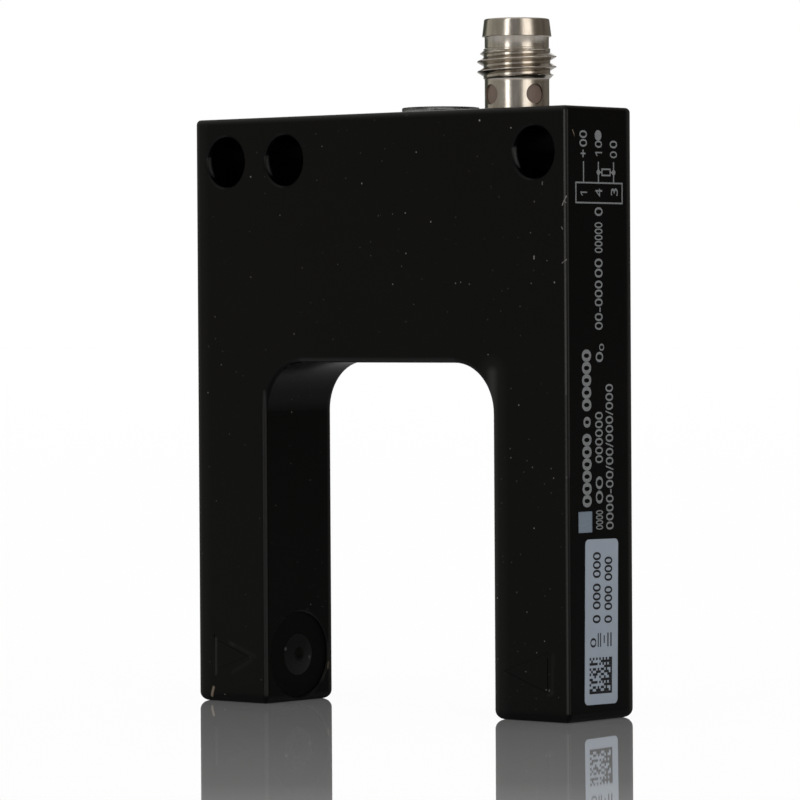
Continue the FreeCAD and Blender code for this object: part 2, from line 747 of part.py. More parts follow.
def build_bezel(label, side):
    inner, outer = "size.lens_diameter / 2 + size.lens_gap", "size.port_diameter / 2 - size.bezel_gap"
    back, front = "-size.port_depth", "size.bezel_thickness - size.port_depth"
    body = turned_body(label, [(inner, back), (outer, back), (outer, front), (inner, front)])
    return along_beam(body, side)


def build_lens(label, side):
    """A plano-convex lens with a flange behind the wall."""
    neck, flange = "size.lens_diameter / 2", "size.lens_flange / 2"
    back = "-size.wall - size.lens_flange_thickness"
    corners = [
        ("0", back), (flange, back), (flange, "-size.wall"), (neck, "-size.wall"),
        (neck, "-size.lens_recess"),
    ]
    return along_beam(domed_body(label, corners, "size.lens_crown - size.lens_recess"), side)


def build_holder(label, side):
    """Carries the lens in its mouth and the diode in its barrel."""
    bore = "size.diode_diameter / 2 + size.diode_gap"
    mouth = "size.lens_flange / 2 + size.lens_gap"
    flange, barrel = "size.holder_flange / 2", "size.holder_barrel / 2"
    lens_seat = "-size.wall - size.lens_flange_thickness"
    shoulder = "-size.wall - size.holder_flange_length"
    body = turned_body(label, [
        (bore, HOLDER_BACK), (barrel, HOLDER_BACK), (barrel, shoulder), (flange, shoulder),
        (flange, "-size.wall"), (mouth, "-size.wall"), (mouth, lens_seat), (bore, lens_seat),
    ])
    return along_beam(body, side)


def build_diode(label, side):
    """A domed diode with two leads bent back into the board."""
    radius, collar = "size.diode_diameter / 2", "size.diode_collar / 2"
    tip = f"({HOLDER_BACK} + size.diode_reach)"
    body = domed_body(label, [
        ("0", COLLAR_BACK), (collar, COLLAR_BACK), (collar, HOLDER_BACK),
        (radius, HOLDER_BACK), (radius, f"{tip} - {radius}"),
    ], tip)
    for number, sign in enumerate(("-", "")):
        across = f"{sign}size.diode_lead_pitch / 2"
        path = sketch_on(body, "XZ_Plane", f"{label}_lead_path_{number}", f"-({across})")
        end = f"{BOARD_BACK} + size.lead_stub"
        bent_path(path, "0", COLLAR_BACK, LEAD_RUN, end, "size.diode_lead_bend")
        section = sketch_on(body, "XY_Plane", f"{label}_lead_{number}", COLLAR_BACK)
        circle(section, "0", across, "size.diode_lead / 2")
        sweep(body, section, path)
    return along_beam(body, side)


# Connector: each piece's own Z axis is the connector's axis, and its origin is on the top face

PINS = ("1", "3", "4")


def pin_place(number):
    turn = f"size.pin_{number}_turn * 1 deg"
    return (f"size.pin_circle / 2 * cos({turn})", f"size.pin_circle / 2 * sin({turn})")


def on_connector_axis(body):
    place(body, x=CONNECTOR_X, z="size.body_height")
    return body


def build_connector_shell():
    """A turned shell with a collar, a threaded stretch and a snap barb under its rim."""
    bore, collar = "size.socket_diameter / 2", "size.collar_diameter / 2"
    crest, neck = "size.thread_diameter / 2", "size.neck_diameter / 2"
    barb, rim = "size.barb_diameter / 2", "size.rim_diameter / 2"
    start, end = "size.thread_base", "(size.thread_base + size.thread_length)"
    body = turned_body("connector_shell", [
        (bore, SHELL_END), (collar, SHELL_END), (collar, start),
        (crest, f"{start} + size.thread_chamfer"), (crest, f"{end} - size.thread_chamfer"),
        (neck, end), (neck, "size.barb_base"), (barb, "size.barb_base"),
        (rim, "size.connector_height"), (bore, "size.connector_height"),
    ])
    height, radius = value("size.connector_height"), value(rim)

    def is_rim(edge):
        if not isinstance(edge.Curve, Part.Circle):
            return False
        return same(edge.Curve.Center.z, height) and same(edge.Curve.Radius, radius)

    fillet(body, body.Tip, edges_where(body.Tip, is_rim), "size.rim_round")
    hole = sketch_on(body, "YZ_Plane", "lock_hole_outline")
    circle(hole, "0", "size.lock_hole_height", "size.lock_hole / 2")
    cut = pocket(body, hole, "size.collar_diameter")
    pattern = body.newObject("PartDesign::PolarPattern", "lock_holes")
    pattern.Originals = [cut]
    pattern.Axis = (origin_part(body, "Z_Axis"), [""])
    pattern.Angle = 360.0
    pattern.setExpression("Occurrences", "size.lock_holes")
    body.Tip = pattern
    on_connector_axis(body)
    body.Placement.Rotation = FreeCAD.Rotation(Vector(0, 0, 1), 1)
    body.setExpression("Placement.Rotation.Angle", "size.lock_hole_turn * 1 deg")
    return body


def build_insert():
    """The moulded pin carrier with its coding rib."""
    radius = "(size.socket_diameter / 2 - size.insert_gap)"
    tail = "size.insert_tail / 2"
    body = turned_body("connector_insert", [
        ("0", INSERT_END), (tail, INSERT_END), (tail, SHELL_END), (radius, SHELL_END),
        (radius, INSERT_FACE), ("0", INSERT_FACE),
    ])
    rib = sketch_on(body, "XY_Plane", "coding_rib", INSERT_FACE)
    half = "size.key_width / 2"
    out = f"-sqrt({radius} ^ 2 - ({half}) ^ 2)"
    rectangle(rib, f"-{half}", out, half, f"size.key_depth - {radius}")
    pad(body, rib, "size.socket_depth - size.key_setback")
    bores = sketch_on(body, "XY_Plane", "pin_bores", INSERT_FACE)
    for number in PINS:
        circle(bores, *pin_place(number), "size.pin_diameter / 2")
    pocket(body, bores, f"{INSERT_FACE} - {INSERT_END}")
    return on_connector_axis(body)


def build_pin(number):
    """A contact pin whose tail bends back into the board."""
    body = new_body(f"contact_pin_{number}")
    x, y = pin_place(number)
    tip = "size.connector_height - size.pin_setback"
    path = sketch_on(body, "YZ_Plane", f"pin_{number}_path", x)
    bent_path(path, y, tip, PIN_RUN, f"{BOARD_BACK} + size.lead_stub", "size.pin_bend")
    section = sketch_on(body, "XY_Plane", f"pin_{number}_section", tip)
    circle(section, x, y, "size.pin_diameter / 2")
    step = sweep(body, section, path)
    height = value(tip)

    def is_tip(edge):
        return isinstance(edge.Curve, Part.Circle) and same(edge.Curve.Center.z, height)

    chamfer(body, step, edges_where(step, is_tip), "size.pin_tip")
    return on_connector_axis(body)


# Sensitivity adjuster: its own Z axis is the adjuster's axis, its origin is on the top face

def on_adjuster_axis(body):
    place(body, x=ADJUSTER_X, z="size.body_height")
    return body


def build_window():
    """A clear disc with a plug through the top wall and a bore for the rotor."""
    bore = "size.rotor_diameter / 2 + size.rotor_gap"
    plug, disc = "size.window_plug / 2", "size.window_diameter / 2"
    body = turned_body("adjuster_window", [
        (bore, "-size.window_plug_length"), (plug, "-size.window_plug_length"), (plug, "0"),
        (disc, "0"), (disc, "size.window_height"), (bore, "size.window_height"),
    ])
    height, radius = value("size.window_height"), value(disc)

    def is_edge(edge):
        if not isinstance(edge.Curve, Part.Circle):
            return False
        return same(edge.Curve.Center.z, height) and same(edge.Curve.Radius, radius)

    fillet(body, body.Tip, edges_where(body.Tip, is_edge), "size.window_round")
    return on_adjuster_axis(body)


def build_rotor():
    """The adjuster's turning shaft, with its foot in the trimmer and a driver slot on top."""
    foot_top = "-size.trimmer_drop"
    foot = f"({foot_top} - size.rotor_foot_height)"
    shaft, top = "size.rotor_diameter / 2", "(size.window_height - size.rotor_setback)"
    body = turned_body("trimmer_rotor", [
        ("0", foot), ("size.rotor_foot / 2", foot), ("size.rotor_foot / 2", foot_top),
        (shaft, foot_top), (shaft, top), ("0", top),
    ])
    slot = sketch_on(body, "XY_Plane", "driver_slot", top)
    half, reach = "size.driver_slot_width / 2", "size.rotor_diameter"
    rectangle(slot, f"-{half}", f"-{reach}", half, reach)
    pocket(body, slot, "size.driver_slot_depth")
    return on_adjuster_axis(body)


def build_trimmer():
    """The trimmer's body on the board, with a round well for the rotor's foot."""
    body = new_body("trimmer_body")
    outline = sketch_on(body, "XY_Plane", "trimmer_outline", "-size.trimmer_drop")
    half = "size.trimmer_width / 2"
    rectangle(outline, f"-{half}", f"-{BOARD_FRONT}", half, BOARD_FRONT)
    pad(body, outline, "size.trimmer_height", reverse=True)
    well = sketch_on(body, "XY_Plane", "rotor_well", "-size.trimmer_drop")
    circle(well, "0", "0", "size.rotor_foot / 2 + size.rotor_gap")
    pocket(body, well, "size.rotor_foot_height + size.rotor_gap")
    return on_adjuster_axis(body)


# Components that lie on the front of the board

def board_block(label, left, low, length, width, height):
    """A moulded body on the board with its front edges bevelled."""
    body = new_body(label)
    outline = sketch_on(body, "XZ_Plane", label + "_outline")
    rectangle(outline, "0", "0", length, width)
    step = pad(body, outline, height)
    front = value(height)

    def is_front(edge):
        return all(same(vertex.Point.y, -front) for vertex in edge.Vertexes)

    chamfer(body, step, edges_where(step, is_front), "size.component_bevel")
    place(body, x=left, y=BOARD_FRONT, z=low)
    return body


def build_controller():
    """The controller: a moulded body with a row of bent legs along both long sides."""
    body = new_body("controller_chip")
    half, tall = "size.chip_width / 2", "size.chip_height"
    outline = sketch_on(body, "XZ_Plane", "chip_outline", "size.chip_stand")
    rectangle(outline, "-size.chip_length / 2", f"-{half}", "size.chip_length / 2", half)
    step = pad(body, outline, f"{tall} - size.chip_stand")
    front = value(tall)

    def is_front(edge):
        return all(same(vertex.Point.y, -front) for vertex in edge.Vertexes)

    chamfer(body, step, edges_where(step, is_front), "size.component_bevel")

    thick, reach = "size.chip_leg_thickness", "size.chip_leg_reach"
    low, high = f"-({tall} / 2 - {thick} / 2)", f"-({tall} / 2 + {thick} / 2)"
    knee, end = f"({half} + {reach} / 2)", f"({half} + {reach})"
    first = "(size.chip_legs - 1) / 2 * size.chip_leg_pitch"
    leg = sketch_on(body, "YZ_Plane", "chip_leg", f"-{first}")
    for side in ("-", ""):
        polygon(leg, [
            ("0", side + end), (f"-{thick}", side + end), (f"-{thick}", side + knee),
            (high, side + knee), (high, side + f"({half})"), (low, side + f"({half})"),
            (low, f"{side}({knee} - {thick})"), ("0", f"{side}({knee} - {thick})"),
        ])
    one_pair = pad(body, leg, "size.chip_leg_width", symmetric=True)
    row = body.newObject("PartDesign::LinearPattern", "chip_legs_row")
    row.Originals = [one_pair]
    row.Direction = (origin_part(body, "X_Axis"), [""])
    row.setExpression("Length", "(size.chip_legs - 1) * size.chip_leg_pitch")
    row.setExpression("Occurrences", "size.chip_legs")
    body.Tip = row
    place(body, x="size.chip_left + size.chip_length / 2", y=BOARD_FRONT,
          z="size.fork_depth + size.chip_up")
    return body


def build_components():
    build_controller()
    for label, name, left, low in (
        ("voltage_regulator", "regulator", "size.regulator_left", "size.fork_depth + size.regulator_up"),
        ("output_driver", "driver", "size.body_width / 2 - size.driver_left",
         "size.body_height - size.driver_up"),
        ("input_capacitor", "capacitor", "size.capacitor_left", "size.body_height - size.capacitor_up"),
    ):
        board_block(label, left, low, f"size.{name}_length", f"size.{name}_width",
                    f"size.{name}_height")
    left = f"{ADJUSTER_X} + size.indicator_offset - size.indicator_width / 2"
    low = "size.body_height - size.indicator_drop - size.indicator_height"
    board_block("indicator_led", left, low, "size.indicator_width", "size.indicator_height",
                "size.indicator_depth")


def build_label():
    """A thin blank label on the right side face."""
    body = new_body("side_label")
    outline = sketch_on(body, "YZ_Plane", "label_outline")
    wide, tall = "size.label_width / 2", "size.label_height / 2"
    rectangle(outline, f"-{wide}", f"-{tall}", wide, tall)
    step = pad(body, outline, "size.label_thickness")
    through = edges_where(step, lambda edge: is_line_along(edge, Vector(1, 0, 0)))
    fillet(body, step, through, "size.label_corner")
    place(body, x="size.body_width / 2", z=f"size.label_low + {tall}",
          rotation=FreeCAD.Rotation(Vector(1, 0, 0), 1))
    body.setExpression("Placement.Rotation.Angle", "-size.label_tilt * 1 deg")
    return body


def build_all():
    build_housing()
    build_gasket()
    build_cover()
    build_board()
    build_screws()
    for name, side in (("emitter", "-"), ("receiver", "")):
        build_bezel(f"{name}_bezel", side)
        build_lens(f"{name}_lens", side)
        build_holder(f"{name}_holder", side)
    build_diode("emitter_led", "-")
    build_diode("receiver_photodiode", "")
    build_connector_shell()
    build_insert()
    for number in PINS:
        build_pin(number)
    build_window()
    build_rotor()
    build_trimmer()
    build_components()
    build_label()


def check_and_write():
    """Write each piece to its own file, once every object is sound."""
    doc.recompute()
    for item in doc.Objects:
        if "Invalid" in item.State or "Error" in item.State:
            raise RuntimeError(f"{item.Name} failed: {item.State}")
    pieces = [item for item in doc.Objects if item.TypeId == "PartDesign::Body"]
    for piece in pieces:
        if piece.Shape.isNull() or not piece.Shape.isValid() or not piece.Shape.Solids:
            raise RuntimeError(f"{piece.Label} has no sound solid")
    os.makedirs("parts", exist_ok=True)
    for piece in pieces:
        piece.Shape.exportStep(os.path.join("parts", piece.Label + ".step"))
        solids = len(piece.Shape.Solids)
        print(f"{piece.Label}: {solids} solid(s), {piece.Shape.Volume:.2f} mm3")


build_all()
check_and_write()
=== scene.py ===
import json
import math
import bmesh
import bpy
from mathutils import Matrix, Vector


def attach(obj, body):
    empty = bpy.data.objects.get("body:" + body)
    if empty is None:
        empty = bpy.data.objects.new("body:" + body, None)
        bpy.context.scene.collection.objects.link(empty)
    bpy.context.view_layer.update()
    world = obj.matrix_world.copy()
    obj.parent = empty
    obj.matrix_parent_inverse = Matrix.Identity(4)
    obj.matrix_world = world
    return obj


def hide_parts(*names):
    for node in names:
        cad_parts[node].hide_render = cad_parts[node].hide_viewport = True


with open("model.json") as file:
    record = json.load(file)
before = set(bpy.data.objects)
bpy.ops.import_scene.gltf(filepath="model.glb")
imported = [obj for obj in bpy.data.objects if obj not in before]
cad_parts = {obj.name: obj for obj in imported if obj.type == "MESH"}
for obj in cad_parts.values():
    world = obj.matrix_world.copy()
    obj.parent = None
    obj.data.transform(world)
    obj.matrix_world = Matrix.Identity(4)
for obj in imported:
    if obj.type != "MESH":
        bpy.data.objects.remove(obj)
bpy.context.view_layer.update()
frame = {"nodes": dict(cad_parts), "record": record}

# Fork light barrier: a black coated fork with a nickel-plated round connector and a clear
# adjuster window on top, a printed right side and a label near its foot.

MM = 0.001
SNAP = 1e-7  # metres, for merging points and finding them by their place

BODY_SIDE = 24.5  # right side face, mm
BODY_FRONT = -5.2  # front face, mm
BODY_TOP = 60.0  # top face, mm
CONNECTOR_X = 14.2  # connector axis, mm
BEAM_HEIGHT = 4.85  # lens axis, mm
HOLE_HEIGHT = 55.55  # axis of the fixing holes, mm
HOLES = (-20.3, -12.3, 20.3)  # places of the fixing holes, mm


# Modelling helpers

def start_clean():
    """Leave edit mode and let go of everything."""
    if bpy.context.mode != "OBJECT":
        bpy.ops.object.mode_set(mode="OBJECT")
    bpy.ops.object.select_all(action="DESELECT")


def edit(piece):
    start_clean()
    bpy.context.view_layer.objects.active = piece
    piece.select_set(True)
    bpy.ops.object.mode_set(mode="EDIT")


def named(name):
    piece = bpy.context.active_object
    piece.name = name
    piece.data.name = name
    return piece


def pick(piece, kind, test):
    """Select the faces, edges or verts of the piece in edit mode whose middle passes the test."""
    bpy.ops.mesh.select_mode(type=kind.upper()[:-1])
    bpy.ops.mesh.select_all(action="DESELECT")
    mesh = bmesh.from_edit_mesh(piece.data)
    for item in getattr(mesh, kind):
        points = [item.co] if kind == "verts" else [vertex.co for vertex in item.verts]
        middle = sum(points, Vector()) / len(points)
        if test(middle, item):
            item.select_set(True)
    mesh.select_flush_mode()
    bmesh.update_edit_mesh(piece.data)


def use_modifier(piece, kind, **settings):
    """Put one modifier on the piece and apply it."""
    start_clean()
    bpy.context.view_layer.objects.active = piece
    piece.select_set(True)
    modifier = piece.modifiers.new(kind.title(), kind)
    for name, setting in settings.items():
        setattr(modifier, name, setting)
    bpy.ops.object.modifier_apply(modifier=modifier.name)


def combine(piece, tool, operation):
    """Cut the tool out of the piece, keep what they share, or join it, and drop the tool."""
    use_modifier(piece, "BOOLEAN", object=tool, operation=operation, solver="EXACT")
    bpy.data.objects.remove(tool)


def draw_line(name, points):
    """A chain of edges through the points, drawn by extruding one point on and on."""
    start_clean()
    bpy.ops.mesh.primitive_plane_add(size=MM)
    piece = named(name)
    edit(piece)
    bpy.ops.mesh.select_mode(type="VERT")
    bpy.ops.mesh.select_all(action="SELECT")
    bpy.ops.mesh.merge(type="CENTER")
    bpy.ops.transform.translate(value=points[0])
    for here, there in zip(points, points[1:]):
        bpy.ops.mesh.extrude_vertices_move(TRANSFORM_OT_translate={"value": there - here})
    return piece


def flat_shape(name, points, thickness):
    """A flat piece of the given (y, z) outline in mm that stands out to the right from X = 0."""
    outline = [Vector((0, y, z)) * MM for y, z in points]
    piece = draw_line(name, outline + outline[:1])
    bpy.ops.mesh.select_all(action="SELECT")
    bpy.ops.mesh.remove_doubles(threshold=SNAP)
    bpy.ops.mesh.edge_face_add()
    bpy.ops.mesh.extrude_region_move(TRANSFORM_OT_translate={"value": (thickness * MM, 0, 0)})
    close_up(piece)
    return piece


def bar(name, left, low, right, high, thickness):
    return flat_shape(name, [(left, low), (right, low), (right, high), (left, high)], thickness)


def dot(name, middle, radius, thickness):
    points = []
    for index in range(DOT_SIDES):
        turn = math.tau * index / DOT_SIDES
        points.append((middle[0] + radius * math.cos(turn), middle[1] + radius * math.sin(turn)))
    return flat_shape(name, points, thickness)


def numerals(name, text, height, start, width, thickness, weight=0.0):
    """Plain numerals that read upwards, their feet towards +Y. Start is the (Y, Z) of the first foot,
    height is along Y and width along Z, in mm, and weight thickens the strokes."""
    start_clean()
    bpy.ops.object.text_add()
    words = bpy.context.active_object.data
    words.body = text
    words.extrude = thickness / 2 * MM
    words.offset = weight
    bpy.ops.object.convert(target="MESH")
    piece = named(name)
    reach = [vertex.co for vertex in piece.data.vertices]
    across = max(point.x for point in reach) - min(point.x for point in reach)
    tall = max(point.y for point in reach) - min(point.y for point in reach)
    foot = Vector((min(point.x for point in reach), min(point.y for point in reach), 0))
    piece.data.transform(Matrix.Translation(-foot))
    piece.data.transform(Matrix.Diagonal((width * MM / across, height * MM / tall, 1, 1)))
    # Reading direction to +Z, tops of the numerals to -Y, face to +X
    piece.data.transform(Matrix(((0, 0, 1, thickness / 2 * MM), (0, -1, 0, start[0] * MM),
                                 (1, 0, 0, start[1] * MM), (0, 0, 0, 1))))
    close_up(piece)
    return piece


def join(name, pieces):
    start_clean()
    for piece in pieces:
        piece.select_set(True)
    bpy.context.view_layer.objects.active = pieces[0]
    bpy.ops.object.join()
    return named(name)


def turned(name, profile, steps):
    """A piece turned on the Z axis from a closed profile of (radius, height) in mm."""
    points = [Vector((radius, 0, height)) * MM for radius, height in profile]
    piece = draw_line(name, points + points[:1])
    bpy.ops.mesh.select_all(action="SELECT")
    bpy.ops.mesh.spin(steps=steps, angle=math.tau, center=(0, 0, 0), axis=(0, 0, 1))
    close_up(piece)
    return piece


def close_up(piece):
    """Merge the seam and point every face outwards."""
    edit(piece)
    bpy.ops.mesh.select_all(action="SELECT")
    bpy.ops.mesh.remove_doubles(threshold=SNAP)
    bpy.ops.mesh.normals_make_consistent(inside=False)
    start_clean()


def move_mesh(piece, shift):
    edit(piece)
    bpy.ops.mesh.select_all(action="SELECT")
    bpy.ops.transform.translate(value=shift)
    start_clean()


def smooth(piece, degrees):
    """Shade the piece smooth but for edges sharper than the angle."""
    start_clean()
    bpy.context.view_layer.objects.active = piece
    piece.select_set(True)
    bpy.ops.object.shade_smooth_by_angle(angle=math.radians(degrees))
    start_clean()


def finish_piece(piece, material, body="housing"):
    piece.data.materials.clear()
    piece.data.materials.append(material)
    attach(piece, body)


# Material helpers

def node(tree, kind, wires=None, **settings):
    """A node of the tree. Wires gives an input a plain value or another node's output."""
    new = tree.nodes.new(kind)
    for name, setting in settings.items():
        setattr(new, name, setting)
    for name, source in (wires or {}).items():
        socket = new.inputs[name]
        if isinstance(source, bpy.types.NodeSocket):
            tree.links.new(source, socket)
        else:
            socket.default_value = source
    return new


def calc(tree, operation, *values, clamp=False):
    """One Math node's output."""
    wires = dict(enumerate(values))
    return node(tree, "ShaderNodeMath", wires, operation=operation, use_clamp=clamp).outputs[0]


def blend(tree, amount, low, high):
    """A colour between low and high."""
    mix = node(tree, "ShaderNodeMix", data_type="RGBA")
    for socket, source in ((mix.inputs[0], amount), (mix.inputs[6], low), (mix.inputs[7], high)):
        if isinstance(source, bpy.types.NodeSocket):
            tree.links.new(source, socket)
        else:
            socket.default_value = source
    return mix.outputs[2]


def tint(tree, mask, strength, base, colour):
    """The base with a colour laid over it where the mask is, as far as the strength goes."""
    return blend(tree, calc(tree, "MULTIPLY", mask, strength), base, colour)


def vary(tree, pattern, least, spread):
    """A value that goes from least to least plus spread as the pattern goes from 0 to 1."""
    return calc(tree, "MULTIPLY_ADD", pattern, spread, least)


def noise(tree, place, scale, detail, roughness):
    wires = {"Vector": place, "Scale": scale, "Detail": detail, "Roughness": roughness}
    return node(tree, "ShaderNodeTexNoise", wires).outputs[0]


def ramp(tree, source, stops):
    """A colour ramp with the given (place, value) stops; a value is a grey or a colour."""
    new = node(tree, "ShaderNodeValToRGB", {0: source})
    band = new.color_ramp
    while len(band.elements) < len(stops):
        band.elements.new(0.5)
    for element, (place, tone) in zip(band.elements, stops):
        element.position = place
        element.color = (*([tone] * 3 if isinstance(tone, (int, float)) else tone), 1)
    return new.outputs[0]


def object_place(tree):
    return node(tree, "ShaderNodeTexCoord").outputs["Object"]


def new_group(name, inputs, outputs):
    """A shader node group with named sockets; returns it with its input and output nodes."""
    tree = bpy.data.node_groups.new(name, "ShaderNodeTree")
    for socket, kind, default in inputs:
        made = tree.interface.new_socket(socket, in_out="INPUT", socket_type=kind)
        if default is not None:
            made.default_value = default
    for socket, kind in outputs:
        tree.interface.new_socket(socket, in_out="OUTPUT", socket_type=kind)
    return tree, tree.nodes.new("NodeGroupInput").outputs, tree.nodes.new("NodeGroupOutput").inputs


def use_group(tree, group, **wires):
    """Place a group in a material; underscores in an input's name stand for spaces."""
    new = tree.nodes.new("ShaderNodeGroup")
    new.node_tree = group
    for name, source in wires.items():
        socket = new.inputs[name.replace("_", " ")]
        if isinstance(source, bpy.types.NodeSocket):
            tree.links.new(source, socket)
        else:
            socket.default_value = source
    return new.outputs


VECTOR, FLOAT = "NodeSocketVector", "NodeSocketFloat"
SPECK_LEAST, SPECK_SPREAD = 0.35, 0.9  # smallest speck and what the largest adds, in speck sizes
SPECK_EDGE = 2.5  # how crisp a speck's edge is
NO_LENGTH = 1e-12  # keeps a mark between two equal points from dividing by nothing


def make_speck_group():
    """Sparse small specks, such as dust: a mask from cells of which only some hold a speck."""
    tree, given, out = new_group(
        "specks",
        [("Place", VECTOR, None), ("Cell size", FLOAT, 0.002), ("Speck size", FLOAT, 0.0001),
         ("Share", FLOAT, 0.3)],
        [("Mask", FLOAT), ("Tone", FLOAT)],
    )
    scale = calc(tree, "DIVIDE", 1.0, given["Cell size"])
    wires = {"Vector": given["Place"], "Scale": scale, "Randomness": 1.0}
    cells = node(tree, "ShaderNodeTexVoronoi", wires).outputs
    dice = node(tree, "ShaderNodeSeparateColor", {0: cells["Color"]}).outputs
    held = calc(tree, "LESS_THAN", dice[0], given["Share"])
    # Each speck has its own size
    own_size = vary(tree, dice[1], SPECK_LEAST, SPECK_SPREAD)
    reach = calc(tree, "MULTIPLY", given["Speck size"], own_size)
    distance = calc(tree, "DIVIDE", cells["Distance"], scale)
    near = calc(tree, "DIVIDE", calc(tree, "SUBTRACT", reach, distance), given["Speck size"])
    edge = calc(tree, "MULTIPLY", near, SPECK_EDGE, clamp=True)
    tree.links.new(calc(tree, "MULTIPLY", edge, held), out["Mask"])
    tree.links.new(dice[2], out["Tone"])
    return tree


def make_grain_group():
    """Fine surface grain: a height and a slow change of tone over the piece."""
    tree, given, out = new_group(
        "grain",
        [("Place", VECTOR, None), ("Grain size", FLOAT, 0.0002), ("Patch size", FLOAT, 0.01)],
        [("Height", FLOAT), ("Patch", FLOAT)],
    )
    fine_scale = calc(tree, "DIVIDE", 1.0, given["Grain size"])
    slow_scale = calc(tree, "DIVIDE", 1.0, given["Patch size"])
    fine = noise(tree, given["Place"], fine_scale, detail=3.0, roughness=0.6)
    slow = noise(tree, given["Place"], slow_scale, detail=4.0, roughness=0.6)
    tree.links.new(fine, out["Height"])
    tree.links.new(slow, out["Patch"])
    return tree


def make_line_group():
    """A short straight mark, such as a chip, a hair or a bore, round the line between two points."""
    tree, given, out = new_group(
        "short_mark",
        [("Place", VECTOR, None), ("From", VECTOR, None), ("To", VECTOR, None),
         ("Half width", FLOAT, 0.0001), ("Softness", FLOAT, 0.00003)],
        [("Mask", FLOAT)],
    )

    def between(operation, first, second, output="Vector"):
        wires = {0: first, 1: second}
        return node(tree, "ShaderNodeVectorMath", wires, operation=operation).outputs[output]

    away = between("SUBTRACT", given["Place"], given["From"])
    run = between("SUBTRACT", given["To"], given["From"])
    square = calc(tree, "MAXIMUM", between("DOT_PRODUCT", run, run, "Value"), NO_LENGTH)
    along = calc(tree, "DIVIDE", between("DOT_PRODUCT", away, run, "Value"), square, clamp=True)
    nearest = node(tree, "ShaderNodeVectorMath", {0: run, "Scale": along}, operation="SCALE").outputs[0]
    distance = between("DISTANCE", away, nearest, "Value")
    edge = calc(tree, "SUBTRACT", given["Half width"], distance)
    tree.links.new(calc(tree, "DIVIDE", edge, given["Softness"], clamp=True), out["Mask"])
    return tree


SPECKS = make_speck_group()
MARK = make_line_group()
GRAIN = make_grain_group()


def mark(tree, place, start, end, half_width, softness):
    """The mask of a short mark between two points; all lengths in mm."""
    return use_group(tree, MARK, Place=place, From=Vector(start) * MM, To=Vector(end) * MM,
                     Half_width=half_width * MM, Softness=softness * MM)["Mask"]


def new_material(name):
    """A material with an empty tree; returns it with its tree."""
    material = bpy.data.materials.new(name)
    material.use_nodes = True
    material.node_tree.nodes.clear()
    return material, material.node_tree


def principled(tree, **wires):
    """The Principled shader, joined to the output. Underscores stand for spaces."""
    shader = node(tree, "ShaderNodeBsdfPrincipled",
                  {name.replace("_", " "): source for name, source in wires.items()})
    node(tree, "ShaderNodeOutputMaterial", {"Surface": shader.outputs[0]})
    return shader


def bump(tree, height, distance, strength):
    return node(tree, "ShaderNodeBump",
                {"Height": height, "Distance": distance, "Strength": strength}).outputs[0]


def grey(level):
    return (level, level, level, 1.0)


CHIP_SOFTNESS = 0.7  # how soft a chip's edge is, in half widths
TAN, BUFF, PALE = (0.30, 0.24, 0.15, 1), (0.27, 0.22, 0.17, 1), (0.34, 0.33, 0.30, 1)
# Damage and dust by place: from, to (mm), half width (mm), strength, colour
CHIPS = [
    ((-22.66, -5.2, 0.52), (-22.36, -5.2, 1.42), 0.22, 0.66, BUFF),
    ((-15.0, 4.43, 3.75), (-15.0, 4.33, 3.15), 0.16, 0.22, TAN),
    ((13.66, -5.2, 58.81), (13.66, -5.2, 58.83), 0.13, 0.75, PALE),
    ((21.60, -5.2, 3.20), (21.66, -5.2, 3.22), 0.11, 0.30, PALE),
    ((22.00, -5.2, 3.12), (22.04, -5.2, 3.20), 0.11, 0.35, PALE),
    ((24.5, -4.19, 57.60), (24.5, -3.97, 57.22), 0.07, 0.60, TAN),
    ((24.5, -3.97, 57.22), (24.5, -3.90, 57.00), 0.05, 0.35, TAN),
    ((23.98, -5.20, 50.30), (24.37, -5.04, 51.18), 0.08, 0.55, PALE),
    ((24.15, -5.18, 50.74), (24.34, -5.07, 50.55), 0.07, 0.35, PALE),
    ((23.94, -5.20, 44.70), (24.35, -5.06, 45.03), 0.08, 0.42, PALE),
    ((23.89, -5.20, 48.19), (24.01, -5.20, 47.99), 0.09, 0.32, PALE),
    ((22.95, -5.20, 42.86), (22.97, -5.20, 42.82), 0.11, 0.50, PALE),
    ((21.52, -5.20, 52.60), (21.52, -5.20, 52.36), 0.09, 0.30, PALE),
    ((20.44, -5.20, 45.40), (20.44, -5.20, 45.16), 0.11, 0.55, PALE),
]

MARK_HIGHLIGHT_HALF, MARK_HIGHLIGHT_SOFTNESS = 0.27, 0.15  # mm
MARK_HIGHLIGHT_GREY = (0.019, 0.019, 0.0185, 1)
# The two beam marks' lines painted a little lighter, as painted highlights on the engraving: from, to (mm),
# strength
MARK_HIGHLIGHTS = [
    ((-22.04, -5.18, 6.44), (-22.07, -5.18, 2.87), 0.8),
    ((-19.75, -5.18, 6.06), (-16.56, -5.18, 4.86), 0.22),
    ((-17.12, -5.18, 4.42), (-19.64, -5.18, 3.13), 0.2),
    ((-20.03, -5.18, 6.1), (-19.61, -5.18, 5.92), 0.35),
    ((22.4, -5.18, 2.95), (22.55, -5.18, 6.6), 0.2), ((22.4, -5.18, 2.95), (22.0, -5.18, 2.75), 0.3),
]
